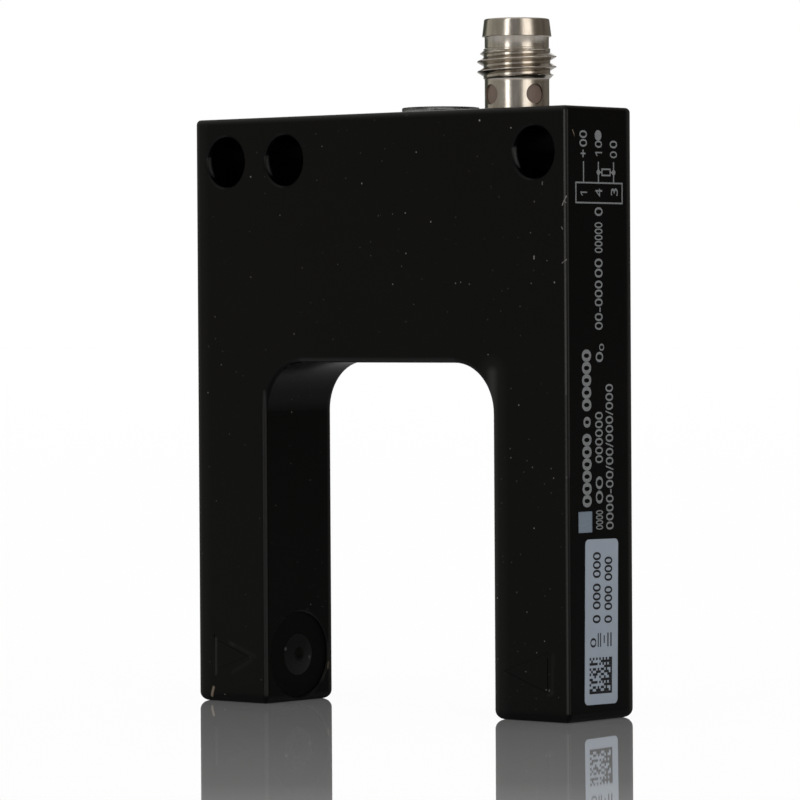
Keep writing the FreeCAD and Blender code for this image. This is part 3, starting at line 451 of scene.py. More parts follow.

# Long edges painted a shade lighter, as painted highlights on their rounds: from, to (mm), half width (mm),
# strength
EDGE_HIGHLIGHT_GREY = (0.07, 0.07, 0.0685, 1)
PAINTED_EDGE_HIGHLIGHTS = [
    ((-24.42, -5.12, 1), (-24.42, -5.12, 59.5), 0.70, 0.42),
    ((-24.42, -5.12, 1), (-24.42, -5.12, 59.5), 1.90, 0.10),
    ((15.08, -5.12, 1), (15.08, -5.12, 34), 0.80, 0.36),
    ((15.08, -5.12, 1), (15.08, -5.12, 34), 2.00, 0.12),
    ((-24, -5.12, 59.92), (24, -5.12, 59.92), 0.55, 0.27),
    ((-10, -5.12, 35.1), (10, -5.12, 35.1), 0.50, 0.2),
    ((-15.08, -5.12, 1), (-15.08, -5.12, 32), 0.28, 0.27),
    ((-15.12, 5.02, 1), (-15.12, 5.02, 32), 0.70, 0.5),
    ((24.29, -5.10, 1), (24.25, -5.13, 59.5), 0.13, 0.55),
    ((24.27, -5.115, 32), (24.25, -5.13, 59.5), 0.13, 0.60),
    ((24.46, -4.90, 1), (24.45, -4.92, 59.5), 0.12, 0.12),
    ((24.46, -4.90, 24), (24.45, -4.92, 59.5), 0.12, 0.20),
    ((24.42, 5.02, 1), (24.42, 5.02, 59.5), 0.85, 0.55),
]

# Light caught on the near lip of each fixing hole: from and to, (X, Y, Z) in mm, with X and Z
# measured from the hole's middle
HOLE_LIP = ((-2.66, -4.75, 0.35), (-2.46, -4.55, -1.5))
LIP_STRENGTHS = (0.45, 0.45, 0.8)  # one for each hole
LIP_HALF = 0.4  # half width and softness, mm
LIP_BEHIND = 0.05  # how far behind the front face it starts, mm
LIP_HIGHLIGHT_GREY = (0.11, 0.11, 0.11, 1)

# The bores' walls, painted dark as painted shade deep inside, mm
BORE_HALF, BORE_SOFTNESS = 2.66, 0.05
BORE_ENDS = (-9, 9)  # Y of two points before the front and behind the back
DARK_FROM, DARK_OVER = -4.9, 0.5  # Y where the dark starts, and how far it takes to be full
BORE_SHADE_BLACK = (0.0005, 0.0005, 0.0005, 1)

# Dust in two sizes: cell, speck (mm), how rare strong specks are, least strength, spread, colour
DUST = [
    (0.6, 0.06, 3.0, 0.04, 0.42, (0.30, 0.29, 0.27, 1)),
    (1.0, 0.09, 4.0, 0.08, 0.48, (0.34, 0.33, 0.31, 1)),
]
# Share of the cells that hold a speck: on the middle plane, more for each metre to the right, and
# less on the right side
DUST_MIDDLE, DUST_RISE, SIDE_DUST = 0.48, 11.0, -0.62

# The coat itself
COAT_DEEP, COAT_PALE = (0.0008, 0.0008, 0.0009, 1), (0.0016, 0.0016, 0.0016, 1)
SIDE_FROM = 24.3  # X beyond which the right side lies, mm
GAP_HALF, GAP_TOP, GAP_FROM = 15.03, 35.03, -5.15  # the gap's walls: within this X and Z, behind this Y
FACE_SHINE = 0.135  # specular level
SIDE_SHINE, GAP_SHINE = -0.05, -0.045  # what the right side and the gap's walls add to it
DULLING = -0.92  # and the share that goes at the leg tips and in the bores
TIP_FADE = -900.0  # how fast that ends above the tips, for each metre


def make_black_coat():
    material, tree = new_material("black_coat")
    place = object_place(tree)
    x, y, z = node(tree, "ShaderNodeSeparateXYZ", {0: place}).outputs
    grain = use_group(tree, GRAIN, Place=place, Grain_size=0.00022, Patch_size=0.013)
    base = blend(tree, grain["Patch"], COAT_DEEP, COAT_PALE)
    # Painted highlights along the rounds of the long edges
    for start, end, half, strength in PAINTED_EDGE_HIGHLIGHTS:
        base = tint(tree, mark(tree, place, start, end, half, half), strength, base, EDGE_HIGHLIGHT_GREY)
    # Painted shade darkens the bores and they stay dull, but for their near lips
    hollow = 0.0
    for hole in HOLES:
        start, end = ((hole, depth, HOLE_HEIGHT) for depth in BORE_ENDS)
        bore = mark(tree, place, start, end, BORE_HALF, BORE_SOFTNESS)
        hollow = calc(tree, "MAXIMUM", bore, hollow)
    inside = calc(tree, "MULTIPLY_ADD", y, 1 / (DARK_OVER * MM), -DARK_FROM / DARK_OVER, clamp=True)
    hollow = calc(tree, "MULTIPLY", hollow, inside)
    base = blend(tree, hollow, base, BORE_SHADE_BLACK)
    # Painted highlight on the near lip of each fixing hole
    behind_face = calc(tree, "GREATER_THAN", y, (BODY_FRONT + LIP_BEHIND) * MM)
    for hole, strength in zip(HOLES, LIP_STRENGTHS):
        start, end = ((hole + across, depth, HOLE_HEIGHT + up) for across, depth, up in HOLE_LIP)
        lip = calc(tree, "MULTIPLY", mark(tree, place, start, end, LIP_HALF, LIP_HALF), behind_face)
        base = tint(tree, lip, strength, base, LIP_HIGHLIGHT_GREY)
    # Painted highlights along the lines of the beam marks
    for start, end, strength in MARK_HIGHLIGHTS:
        mark_highlight = mark(tree, place, start, end, MARK_HIGHLIGHT_HALF, MARK_HIGHLIGHT_SOFTNESS)
        base = tint(tree, mark_highlight, strength, base, MARK_HIGHLIGHT_GREY)
    # Dust lies thicker towards the right, thin on the right side, and not in the bores
    side = calc(tree, "GREATER_THAN", x, SIDE_FROM * MM)
    share = calc(tree, "MULTIPLY_ADD", x, DUST_RISE, DUST_MIDDLE)
    share = calc(tree, "MULTIPLY_ADD", side, SIDE_DUST, share)
    clear = calc(tree, "SUBTRACT", 1.0, hollow)
    for cell, speck, rarity, least, spread, colour in DUST:
        dust = use_group(tree, SPECKS, Place=place, Cell_size=cell * MM, Speck_size=speck * MM, Share=share)
        strength = vary(tree, calc(tree, "POWER", dust["Tone"], rarity), least, spread)
        base = tint(tree, dust["Mask"], calc(tree, "MULTIPLY", strength, clear), base, colour)
    for start, end, half, strength, colour in CHIPS:
        chip = mark(tree, place, start, end, half, CHIP_SOFTNESS * half)
        base = tint(tree, chip, strength, base, colour)
    # The right side, the gap's walls, the leg tips and the bores shine less than the faces
    tip = calc(tree, "MAXIMUM", calc(tree, "MULTIPLY_ADD", z, TIP_FADE, 1.0), 0.0)
    gap = calc(tree, "LESS_THAN", calc(tree, "ABSOLUTE", x), GAP_HALF * MM)
    gap = calc(tree, "MULTIPLY", gap, calc(tree, "LESS_THAN", z, GAP_TOP * MM))
    gap = calc(tree, "MULTIPLY", gap, calc(tree, "GREATER_THAN", y, GAP_FROM * MM))
    shine = vary(tree, side, FACE_SHINE, SIDE_SHINE)
    shine = vary(tree, gap, shine, GAP_SHINE)
    for dulled in (tip, hollow):
        shine = calc(tree, "MULTIPLY", shine, vary(tree, dulled, 1.0, DULLING))
    rough = vary(tree, grain["Patch"], least=0.26, spread=0.10)
    principled(tree, Base_Color=base, Roughness=rough, Specular_IOR_Level=shine,
               Normal=bump(tree, grain["Height"], distance=0.00001, strength=0.5))
    return material


# The connector's nickel
RING_STRETCH, RING_SCALE = 0.12, 9000.0  # turning marks: how drawn out, and how many to a metre
STREAK_STRETCH, STREAK_SCALE = 0.10, 2600.0  # upright streaks
STREAK_STOPS = [(0.42, 0), (0.62, 0.35)]
PIT_STRENGTH = 0.35
RING_RELIEF, GRAIN_RELIEF = 0.7, 0.5
NICKEL_DEEP, NICKEL_PALE = (0.50, 0.46, 0.405, 1), (0.63, 0.59, 0.54, 1)
NICKEL_STREAK, NICKEL_PIT = (0.36, 0.31, 0.25, 1), (0.20, 0.18, 0.15, 1)


def make_nickel():
    material, tree = new_material("turned_nickel")
    place = object_place(tree)
    # Turning marks run round the connector's own axis
    mapped = node(tree, "ShaderNodeMapping", {"Vector": place, "Location": (-CONNECTOR_X * MM, 0, 0)})
    x, y, z = node(tree, "ShaderNodeSeparateXYZ", {0: mapped.outputs[0]}).outputs
    slow_x, slow_y = (calc(tree, "MULTIPLY", way, RING_STRETCH) for way in (x, y))
    round_axis = node(tree, "ShaderNodeCombineXYZ", {0: slow_x, 1: slow_y, 2: z}).outputs[0]
    rings = noise(tree, round_axis, RING_SCALE, detail=3.0, roughness=0.7)
    # Faint upright streaks, as of wiped film
    slow_z = calc(tree, "MULTIPLY", z, STREAK_STRETCH)
    upright = node(tree, "ShaderNodeCombineXYZ", {0: x, 1: y, 2: slow_z}).outputs[0]
    streaks = noise(tree, upright, STREAK_SCALE, detail=3.0, roughness=0.6)
    grain = use_group(tree, GRAIN, Place=place, Grain_size=0.00012, Patch_size=0.0016)
    pits = use_group(tree, SPECKS, Place=place, Cell_size=0.0005, Speck_size=0.00005, Share=0.40)
    base = blend(tree, grain["Patch"], NICKEL_DEEP, NICKEL_PALE)
    base = blend(tree, ramp(tree, streaks, STREAK_STOPS), base, NICKEL_STREAK)
    base = tint(tree, pits["Mask"], PIT_STRENGTH, base, NICKEL_PIT)
    grain_height = calc(tree, "MULTIPLY", grain["Height"], GRAIN_RELIEF)
    height = calc(tree, "ADD", calc(tree, "MULTIPLY", rings, RING_RELIEF), grain_height)
    rough = vary(tree, rings, least=0.13, spread=0.16)
    principled(tree, Base_Color=base, Metallic=1.0, Roughness=rough,
               Normal=bump(tree, height, distance=0.000007, strength=0.8))
    return material


# Painted highlights, small glints at the rim of each lens: (Y, Z) in mm, strength
LENS_GLINTS = [((-1.95, 5.51), 1.0), ((1.68, 4.47), 0.75)]
LENS_ENDS = (-30, 30)  # X of two points beyond both lenses, mm
LENS_GLINT_GREY = (0.07, 0.07, 0.07, 1)
LENS_GREY, PUPIL_BLACK = (0.0062, 0.0062, 0.0064, 1), (0.0008, 0.0008, 0.0008, 1)


def make_lens():
    """Smoked lens with a darker pupil round the beam and painted highlight glints at its rim, on either
    leg.
    """
    material, tree = new_material("smoked_lens")
    place = object_place(tree)
    grain = use_group(tree, GRAIN, Place=place, Grain_size=0.0004, Patch_size=0.002)

    def along_beam(y, z, half_width, softness):
        start, end = ((x, y, z) for x in LENS_ENDS)
        return mark(tree, place, start, end, half_width, softness)

    pupil = along_beam(0, BEAM_HEIGHT, half_width=0.85, softness=0.2)
    base = blend(tree, pupil, LENS_GREY, PUPIL_BLACK)
    # Painted highlights: glints at the lens rim
    for (y, z), strength in LENS_GLINTS:
        base = tint(tree, along_beam(y, z, half_width=0.24, softness=0.18), strength, base, LENS_GLINT_GREY)
    rough = vary(tree, grain["Patch"], least=0.24, spread=0.08)
    principled(tree, Base_Color=base, Roughness=rough, Specular_IOR_Level=0.10,
               Normal=bump(tree, grain["Height"], distance=0.000001, strength=0.4))
    return material


FILM_DEEP, FILM_PALE = (0.285, 0.330, 0.395, 1), (0.320, 0.368, 0.435, 1)
DIRT_STRENGTH, DIRT_GREY = 0.20, (0.12, 0.13, 0.14, 1)


def make_film():
    """Printed label film, a little cloudy and with specks of dirt."""
    material, tree = new_material("label_film")
    place = object_place(tree)
    grain = use_group(tree, GRAIN, Place=place, Grain_size=0.00015, Patch_size=0.0025)
    dirt = use_group(tree, SPECKS, Place=place, Cell_size=0.0007, Speck_size=0.00005, Share=0.3)
    base = blend(tree, grain["Patch"], FILM_DEEP, FILM_PALE)
    base = tint(tree, dirt["Mask"], DIRT_STRENGTH, base, DIRT_GREY)
    rough = vary(tree, grain["Patch"], least=0.32, spread=0.12)
    principled(tree, Base_Color=base, Roughness=rough, Specular_IOR_Level=0.3,
               Normal=bump(tree, grain["Height"], distance=0.000003, strength=0.4))
    return material


INK_COVERS = 0.42  # height of the grain up to which the ink covers fully
COAT_THROUGH = (0.01, 0.01, 0.01, 1)  # what shows where it doesn't


def make_ink(name, colour, worn):
    """Screen-printed ink: its tone breaks up where the coat shows through."""
    material, tree = new_material(name)
    place = object_place(tree)
    grain = use_group(tree, GRAIN, Place=place, Grain_size=0.00011, Patch_size=0.0012)
    thin = calc(tree, "SUBTRACT", grain["Height"], INK_COVERS, clamp=True)
    base = tint(tree, thin, worn, colour, COAT_THROUGH)
    rough = vary(tree, grain["Patch"], least=0.45, spread=0.10)
    principled(tree, Base_Color=base, Roughness=rough, Specular_IOR_Level=0.2,
               Normal=bump(tree, grain["Height"], distance=0.000002, strength=0.4))
    return material


PLAIN_SPREAD = 0.12  # spread of the roughness of a plain finish round its middle


def make_plain(name, colour, roughness, specular=0.5, metallic=0.0, spread=0.15):
    """A moulded or plated finish with grain and a slight change of tone."""
    material, tree = new_material(name)
    place = object_place(tree)
    grain = use_group(tree, GRAIN, Place=place, Grain_size=0.0002, Patch_size=0.004)
    low = tuple(part * (1 - spread) for part in colour) + (1,)
    high = tuple(min(1, part * (1 + spread)) for part in colour) + (1,)
    rough = vary(tree, grain["Patch"], roughness - PLAIN_SPREAD / 2, PLAIN_SPREAD)
    principled(tree, Base_Color=blend(tree, grain["Patch"], low, high), Roughness=rough,
               Specular_IOR_Level=specular, Metallic=metallic,
               Normal=bump(tree, grain["Height"], distance=0.000006, strength=0.5))
    return material


def make_window():
    """The adjuster window: clear plastic with a grey cast, slightly frosted."""
    material, tree = new_material("clear_window")
    place = object_place(tree)
    grain = use_group(tree, GRAIN, Place=place, Grain_size=0.0003, Patch_size=0.002)
    rough = vary(tree, grain["Patch"], least=0.20, spread=0.16)
    principled(tree, Base_Color=(0.32, 0.33, 0.32, 1), Roughness=rough, Transmission_Weight=1.0,
               IOR=1.49, Normal=bump(tree, grain["Height"], distance=0.000004, strength=0.4))
    return material


# Plain finishes take a colour and a roughness, and inks a colour and how worn they are
black_coat = make_black_coat()
nickel = make_nickel()
brown = make_plain("brown_insert", (0.20, 0.145, 0.12), 0.4, specular=0.4, spread=0.3)
film = make_film()
white_ink = make_ink("pale_print", (0.215, 0.225, 0.235, 1), 1.6)
square_ink = make_ink("blue_print", (0.19, 0.23, 0.285, 1), 0.9)
black_ink = make_ink("label_ink", (0.010, 0.010, 0.012, 1), 0.0)

# The finish of each material slot of the record
FINISHES = {
    "gasket": make_plain("gasket_rubber", (0.02, 0.02, 0.02), 0.6),
    "board": make_plain("green_board", (0.03, 0.20, 0.08), 0.4),
    "screw_steel": make_plain("screw_steel", (0.55, 0.55, 0.55), 0.3, metallic=1.0),
    "bezel_black": make_plain("black_bezel", (0.0007, 0.0007, 0.0007), 0.45, specular=0.07),
    "lens_smoked": make_lens(),
    "holder_black": make_plain("black_holder", (0.010, 0.010, 0.010), 0.5),
    "emitter_red": make_plain("red_diode", (0.45, 0.02, 0.02), 0.12),
    "receiver_dark": make_plain("dark_diode", (0.02, 0.012, 0.02), 0.12),
    "insert_brown": brown,
    "contact_gold": make_plain("gold_contact", (0.80, 0.56, 0.24), 0.2, metallic=1.0),
    "window_clear": make_window(),
    "rotor_white": make_plain("white_rotor", (0.70, 0.70, 0.66), 0.4),
    "trimmer_blue": make_plain("blue_trimmer", (0.03, 0.11, 0.34), 0.4),
    "chip_black": make_plain("black_chip", (0.015, 0.015, 0.015), 0.5),
    "capacitor_amber": make_plain("amber_capacitor", (0.50, 0.26, 0.05), 0.35),
    "indicator_amber": make_plain("amber_indicator", (0.65, 0.45, 0.10), 0.25),
    "label_film": film,
    "black_coat": black_coat,
    "connector_nickel": nickel,
}


def dress_cad_nodes():
    for part in frame["record"]["subparts"]:
        piece = frame["nodes"][part["node"]]
        piece.data.materials.clear()
        piece.data.materials.append(FINISHES[part["material_slot"]])


# Threaded connector shell, mm; heights are above the top face

THREAD_PITCH = 1.0
THREAD_ROOT = 3.31
THREAD_CREST = 3.93
CREST_HALF = 0.05  # half the flat on the crest
CREST_DROP = 0.015  # how far the flat's edges lie below its middle
RIDGE_BASE = 3.16  # inside the wall, so that the ridge grows out of it
RIDGE_HALF = 0.49  # half the ridge's width at that base
RIDGE_REST = 0.04  # what the cones always leave of the ridge
FLANK_STEPS = 8
LEFT_CREST = 3.72  # height of a crest at the left outline, seen by the camera
LEFT_OUTLINE = math.radians(-139.5)  # turn of that outline from the X axis
TURNS_BEFORE, TURNS = 1.2, 4.0  # turns of the ridge below that crest, and in all
RUN_OUT_FOOT = 0.24  # the lower cone's radius at the top face; both cones slope at 45 degrees
RUN_OUT_HEAD = 9.18  # the upper cone's radius at the top face
THREAD_ENDS = (3.065, 5.95)  # heights between which the ridge stays
TURN_STEPS = 96  # steps round the axis
LOCK_HOLE = 1.0  # radius
LOCK_HOLE_HEIGHT = 1.45
LOCK_HOLE_TURN = 74  # degrees from the X axis
PLUG_ROOM = 0.03  # between a plug and its hole

# Radius and height, from inside the foot round the outside to inside the head
SHELL_PROFILE = [
    (2.6, -3.0), (3.14, -3.0), (3.2, -2.94), (3.2, -2.9), (3.2, 0.2), (3.2, 2.7), (3.2, 2.94),
    (3.22, 3.0), (THREAD_ROOT, 3.06), (THREAD_ROOT, 5.98), (3.19, 6.06), (3.19, 6.1), (3.19, 7.12),
    (3.21, 7.16), (3.40, 7.17), (3.43, 7.2), (3.43, 7.27), (3.42, 7.35), (3.26, 8.65), (3.25, 8.72),
    (3.235, 8.82), (3.18, 8.91), (3.08, 8.95), (2.72, 8.95), (2.6, 8.85),
]
PLUG_PROFILE = [(2.58, 0.3), (2.96, 0.3), (3.0, 0.34), (3.0, 2.56), (2.96, 2.6), (2.58, 2.6)]


def crest_limit(height):
    """The greatest radius of the thread at a height."""
    cones = min(RUN_OUT_HEAD - height, RUN_OUT_FOOT + height)
    return max(RIDGE_BASE + RIDGE_REST, min(THREAD_CREST, cones))


def build_thread():
    """The helical ridge, cut away by a cone at both ends."""
    foot = LEFT_CREST - TURNS_BEFORE * THREAD_PITCH
    turn = Matrix.Rotation(LEFT_OUTLINE - TURNS_BEFORE * math.tau, 4, "Z")
    flank = []
    for step in range(FLANK_STEPS + 1):
        share = step / FLANK_STEPS
        flank.append((RIDGE_BASE + (THREAD_CREST - CREST_DROP - RIDGE_BASE) * share,
                      RIDGE_HALF + (CREST_HALF - RIDGE_HALF) * share))
    profile = [(radius, -half) for radius, half in flank] + [(THREAD_CREST, 0.0)] + flank[::-1]
    points = [turn @ (Vector((radius, 0, foot + height)) * MM) for radius, height in profile]
    ridge = draw_line("thread_ridge", points + points[:1])
    bpy.ops.mesh.select_all(action="SELECT")
    bpy.ops.mesh.remove_doubles(threshold=SNAP)
    start_clean()
    steps = int(TURNS * TURN_STEPS)
    use_modifier(ridge, "SCREW", axis="Z", angle=TURNS * math.tau, screw_offset=TURNS * THREAD_PITCH * MM,
                 steps=steps, render_steps=steps, iterations=1, use_merge_vertices=False)
    for vertex in ridge.data.vertices:
        flat = vertex.co.xy
        limit = crest_limit(vertex.co.z / MM) * MM
        if flat.length > limit:
            vertex.co.xy = flat.normalized() * limit
    # Only the stretch that stands out of the wall stays
    edit(ridge)
    for cut, outward in zip(THREAD_ENDS, (-1, 1)):
        bpy.ops.mesh.select_all(action="SELECT")
        bpy.ops.mesh.bisect(plane_co=(0, 0, cut * MM), plane_no=(0, 0, outward), clear_outer=True,
                            use_fill=False, threshold=SNAP)
    bpy.ops.mesh.select_all(action="SELECT")
    bpy.ops.mesh.remove_doubles(threshold=SNAP)
    bpy.ops.mesh.fill_holes(sides=0)
    bpy.ops.mesh.normals_make_consistent(inside=False)
    start_clean()
    return ridge


def add_cross_pin(name, index, radius, length):
    """A round pin through the collar, on the axis of a pair of lock holes."""
    start_clean()
    bpy.ops.mesh.primitive_cylinder_add(
        vertices=48, radius=radius * MM, depth=length * MM, location=(0, 0, LOCK_HOLE_HEIGHT * MM),
        rotation=(math.pi / 2, 0, math.radians(LOCK_HOLE_TURN + 90 * index)))
    return named(name)


def build_connector_shell():
    """Collar, threaded stretch, neck and snap barb, bored for the insert, with four lock holes."""
    shell = turned("threaded_shell", SHELL_PROFILE, TURN_STEPS)
    combine(shell, build_thread(), "UNION")
    for index in range(2):
        combine(shell, add_cross_pin("lock_hole", index, LOCK_HOLE, length=10), "DIFFERENCE")
    move_mesh(shell, (CONNECTOR_X * MM, 0, BODY_TOP * MM))
    smooth(shell, degrees=28)
    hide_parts("connector_shell")
    finish_piece(shell, nickel)


def build_lock_plugs():
    """The insert's moulding fills the lock holes, a little below the collar."""
    plugs = []
    for index in range(2):
        plug = turned("lock_plug", PLUG_PROFILE, TURN_STEPS)
        combine(plug, add_cross_pin("plug_side", index, LOCK_HOLE - PLUG_ROOM, length=8), "INTERSECT")
        plugs.append(plug)
    plug = join("insert_lock_plugs", plugs)
    move_mesh(plug, (CONNECTOR_X * MM, 0, BODY_TOP * MM))
    smooth(plug, degrees=30)
    finish_piece(plug, brown)


# Print and label on the right side, in mm across the side (Y) and up it (Z)

INK = 0.015  # thickness of the print
DOT_INK = INK * 1.1  # two dots lie across lines, so dots stand a little higher
STROKE = 0.15  # width of a printed line
FILM = 0.055  # thickness of the label at its rim
FILM_RISE = 0.008  # how much its face stands out of the rim
FILM_RIM = 0.012  # width of the rim
LABEL_INK = 0.008  # thickness of the label's print
LABEL_MIDDLE = (-0.09, 9.70)
LABEL_SIZE = (5.15, 16.15)
LABEL_CORNER = 0.5
LABEL_TILT = 0.8  # degrees, top to the back

# Rows of plain zeros in place of words: groups, foot (Y), start (Z), end (Z), height, weight of the line
ZERO_ROWS = [
    ("000000", -1.50, 20.95, 28.10, 1.42, 0.032), ("0", -1.62, 28.70, 29.75, 1.10, 0.03),
    ("00000", -1.50, 30.30, 36.30, 1.42, 0.032),
    ("0000", 0.27, 18.70, 20.60, 1.10, 0.004), ("00", 0.27, 21.25, 23.90, 1.10, 0.004),
    ("000000", 0.29, 25.20, 30.20, 1.18, 0.004),
    ("0000-00/00/000/000", 1.93, 18.65, 32.90, 1.16, 0.004),
    ("0", 0.40, 35.05, 36.05, 1.15, 0.004), ("0", 0.56, 36.15, 36.85, 0.75, 0.004),
    ("00-000", 0.36, 38.20, 43.00, 1.20, 0.004), ("00", 0.38, 43.30, 45.15, 1.22, 0.004),
    ("00000", 0.40, 45.70, 48.70, 1.22, 0.004), ("0", 0.43, 49.30, 50.15, 1.22, 0.004),
    ("00", -1.97, 56.00, 57.60, 1.15, 0.004), ("0", 0.40, 55.95, 56.65, 1.10, 0.004),
    ("0", 2.79, 55.95, 56.70, 1.15, 0.004),
]


# The wiring diagram; a box or bar is left, low, right and high
DEVICE_BOX = (-3.80, 50.50, 3.64, 52.60)
LEADS = (-2.52, -0.18, 2.22)  # middle of each lead (Y)
LEAD_TOP = 54.60
LOAD_BOX = (0.30, 53.20, 1.75, 53.95)
LOAD_WIRE = 53.50  # low edge of the wire through the load
PLUS_BARS = [(-2.66, 54.98, -2.50, 55.72), (-2.95, 55.27, -2.66, 55.43), (-2.50, 55.27, -2.21, 55.43)]
DOTS = [((-0.18, 53.57), 0.27), ((2.22, 53.57), 0.27), ((-0.21, 57.15), 0.52)]  # middle, radius
# Pin numerals: the figure, foot (Y), start (Z), width; and the figure one: foot, start, height
PIN_NUMERALS = [("4", 0.40, 51.18, 0.78), ("3", 2.86, 51.30, 0.74), ("0", 2.76, 54.98, 0.68)]
NUMERAL_HEIGHT = 1.08
ONES = [(-1.98, 51.15, 1.04), (0.41, 55.05, 1.08)]
DOT_SIDES = 24

# The plain square at the foot of the print
SQUARE = (-3.59, 18.48, -1.50, 20.54)
SQUARE_CORNER = 0.06


def numeral_one(foot, start, height):
    """The figure one, reading upwards, with its flag."""
    outline = [(0.37, 0), (0.50, 0), (0.50, height), (0.40, height), (0.10, height - 0.24),
               (0.10, height - 0.38), (0.37, height - 0.18)]
    return flat_shape("numeral", [(foot - up, start + along) for along, up in outline], INK)


def box_bars(left, low, right, high):
    """The four bars of a hollow box."""
    return [
        (left, low, right, low + STROKE), (left, high - STROKE, right, high),
        (left, low + STROKE, left + STROKE, high - STROKE),
        (right - STROKE, low + STROKE, right, high - STROKE),
    ]


def build_side_print():
    """A wiring diagram with plain numerals, and zeros and a plain square in place of words."""
    lines = box_bars(*DEVICE_BOX)
    # Leads up from the box, and the load between the last two
    for lead in LEADS:
        lines.append((lead - STROKE / 2, DEVICE_BOX[3], lead + STROKE / 2, LEAD_TOP))
    lines.append((LEADS[1] + STROKE / 2, LOAD_WIRE, LOAD_BOX[0], LOAD_WIRE + STROKE))
    lines.append((LOAD_BOX[2], LOAD_WIRE, LEADS[2] - STROKE / 2, LOAD_WIRE + STROKE))
    lines += box_bars(*LOAD_BOX)
    pieces = [bar("line", *line, INK) for line in lines]
    for text, foot, start, end, height, weight in ZERO_ROWS:
        pieces.append(numerals("zeros", text, height, (foot, start), end - start, INK, weight))
    # A plus sign at the supply
    pieces += [bar("plus", *line, INK) for line in PLUS_BARS]
    pieces += [dot("dot", middle, radius, DOT_INK) for middle, radius in DOTS]
    for text, foot, start, width in PIN_NUMERALS:
        pieces.append(numerals("numeral", text, NUMERAL_HEIGHT, (foot, start), width, INK))
    pieces += [numeral_one(*one) for one in ONES]
    side_print = join("side_print", pieces)
    move_mesh(side_print, (BODY_SIDE * MM, 0, 0))
    finish_piece(side_print, white_ink)
    square = bar("print_square", *SQUARE, INK)
    edit(square)
    bpy.ops.mesh.select_all(action="SELECT")
    bpy.ops.mesh.bevel(offset=SQUARE_CORNER * MM, segments=2, affect="EDGES")
    close_up(square)
    move_mesh(square, (BODY_SIDE * MM, 0, 0))
    finish_piece(square, square_ink)


# The label's checker block and its print, in mm from the label's middle
CHECKER_CELLS, CHECKER_SIZE = 14, 3.55
CHECKER_MIDDLE = (-0.12, -5.25)
CELL_ROOM = 0.003  # round each cell, so that cells don't touch at their corners
# Rows of zeros: groups, height, start, width, weight of the line
LABEL_ROWS = [
    ("0 000 000", 1.22, (-0.19, -0.13), 6.95, 0.014), ("0 000 000", 1.22, (1.63, -0.17), 6.5, 0.014),
    ("0", 0.92, (-0.85, -2.48), 0.92, 0.0),
]
LABEL_STROKES = [
    (-0.62, -2.45, -0.47, -1.10), (-0.25, -2.45, -0.10, -1.10), (0.32, -2.10, 0.47, -1.35),
    (0.90, -2.45, 1.08, -1.10), (1.38, -2.45, 1.56, -1.10),
]


def tilt_label(piece, proud):
    """Turn a piece of the label, made round Y = 0 and Z = 0, and set it on the side."""
    piece.data.transform(Matrix.Rotation(math.radians(-LABEL_TILT), 4, "X"))
    middle = Vector((BODY_SIDE + proud, *LABEL_MIDDLE)) * MM
    piece.data.transform(Matrix.Translation(middle))


def build_label():
    """The film with its rounded corners, and plain zeros, strokes and a checker block on it."""
    half_width, half_height = LABEL_SIZE[0] / 2, LABEL_SIZE[1] / 2
    film_piece = bar("foot_label", -half_width, -half_height, half_width, half_height, FILM)
    edit(film_piece)
    # Its corners are the edges that run through it
    pick(film_piece, "edges", lambda middle, edge: abs(edge.verts[0].co.x - edge.verts[1].co.x) > SNAP)
    bpy.ops.mesh.bevel(offset=LABEL_CORNER * MM, segments=6, affect="EDGES")
    pick(film_piece, "faces", lambda middle, face: face.normal.x > 0.9)
    bpy.ops.mesh.inset(thickness=FILM_RIM * MM, depth=0)
    bpy.ops.transform.translate(value=(FILM_RISE * MM, 0, 0))
    close_up(film_piece)
    tilt_label(film_piece, 0)
    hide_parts("side_label")
    finish_piece(film_piece, film)

    # The checker block: squares are left out of a grid by a plain rule
    start_clean()
    bpy.ops.mesh.primitive_grid_add(x_subdivisions=CHECKER_CELLS, y_subdivisions=CHECKER_CELLS,
                                    size=CHECKER_SIZE * MM, rotation=(0, math.pi / 2, 0))
    grid = named("checker")
    bpy.ops.object.transform_apply(location=True, rotation=True, scale=True)
    edit(grid)

    def is_open(middle, face):
        column = int((middle.y / MM + CHECKER_SIZE / 2) / CHECKER_SIZE * CHECKER_CELLS)
        row = int((middle.z / MM + CHECKER_SIZE / 2) / CHECKER_SIZE * CHECKER_CELLS)
        if column == CHECKER_CELLS - 1 or row == 0:
            return False
        if column == 0 or row == CHECKER_CELLS - 1:
            return (column + row) % 2 == 0
        return (3 * column * row + 5 * column + 2 * row * row + column // 3) % 7 > 3

    pick(grid, "faces", is_open)
    bpy.ops.mesh.delete(type="FACE")
    bpy.ops.mesh.select_all(action="SELECT")
    bpy.ops.mesh.inset(use_individual=True, thickness=CELL_ROOM * MM, depth=0)
    bpy.ops.mesh.select_all(action="INVERT")
    bpy.ops.mesh.delete(type="FACE")
    bpy.ops.mesh.select_all(action="SELECT")
    bpy.ops.mesh.extrude_region_move(TRANSFORM_OT_translate={"value": (LABEL_INK * MM, 0, 0)})
    close_up(grid)
    move_mesh(grid, (0, CHECKER_MIDDLE[0] * MM, CHECKER_MIDDLE[1] * MM))
    print_pieces = [grid]
    for text, height, start, width, weight in LABEL_ROWS:
        print_pieces.append(numerals("zeros", text, height, start, width, LABEL_INK, weight))
    print_pieces += [bar("line", *line, LABEL_INK) for line in LABEL_STROKES]
    ink = join("label_ink", print_pieces)
    tilt_label(ink, FILM + FILM_RISE)
    finish_piece(ink, black_ink)


# Stage: floor, lamps, world and camera

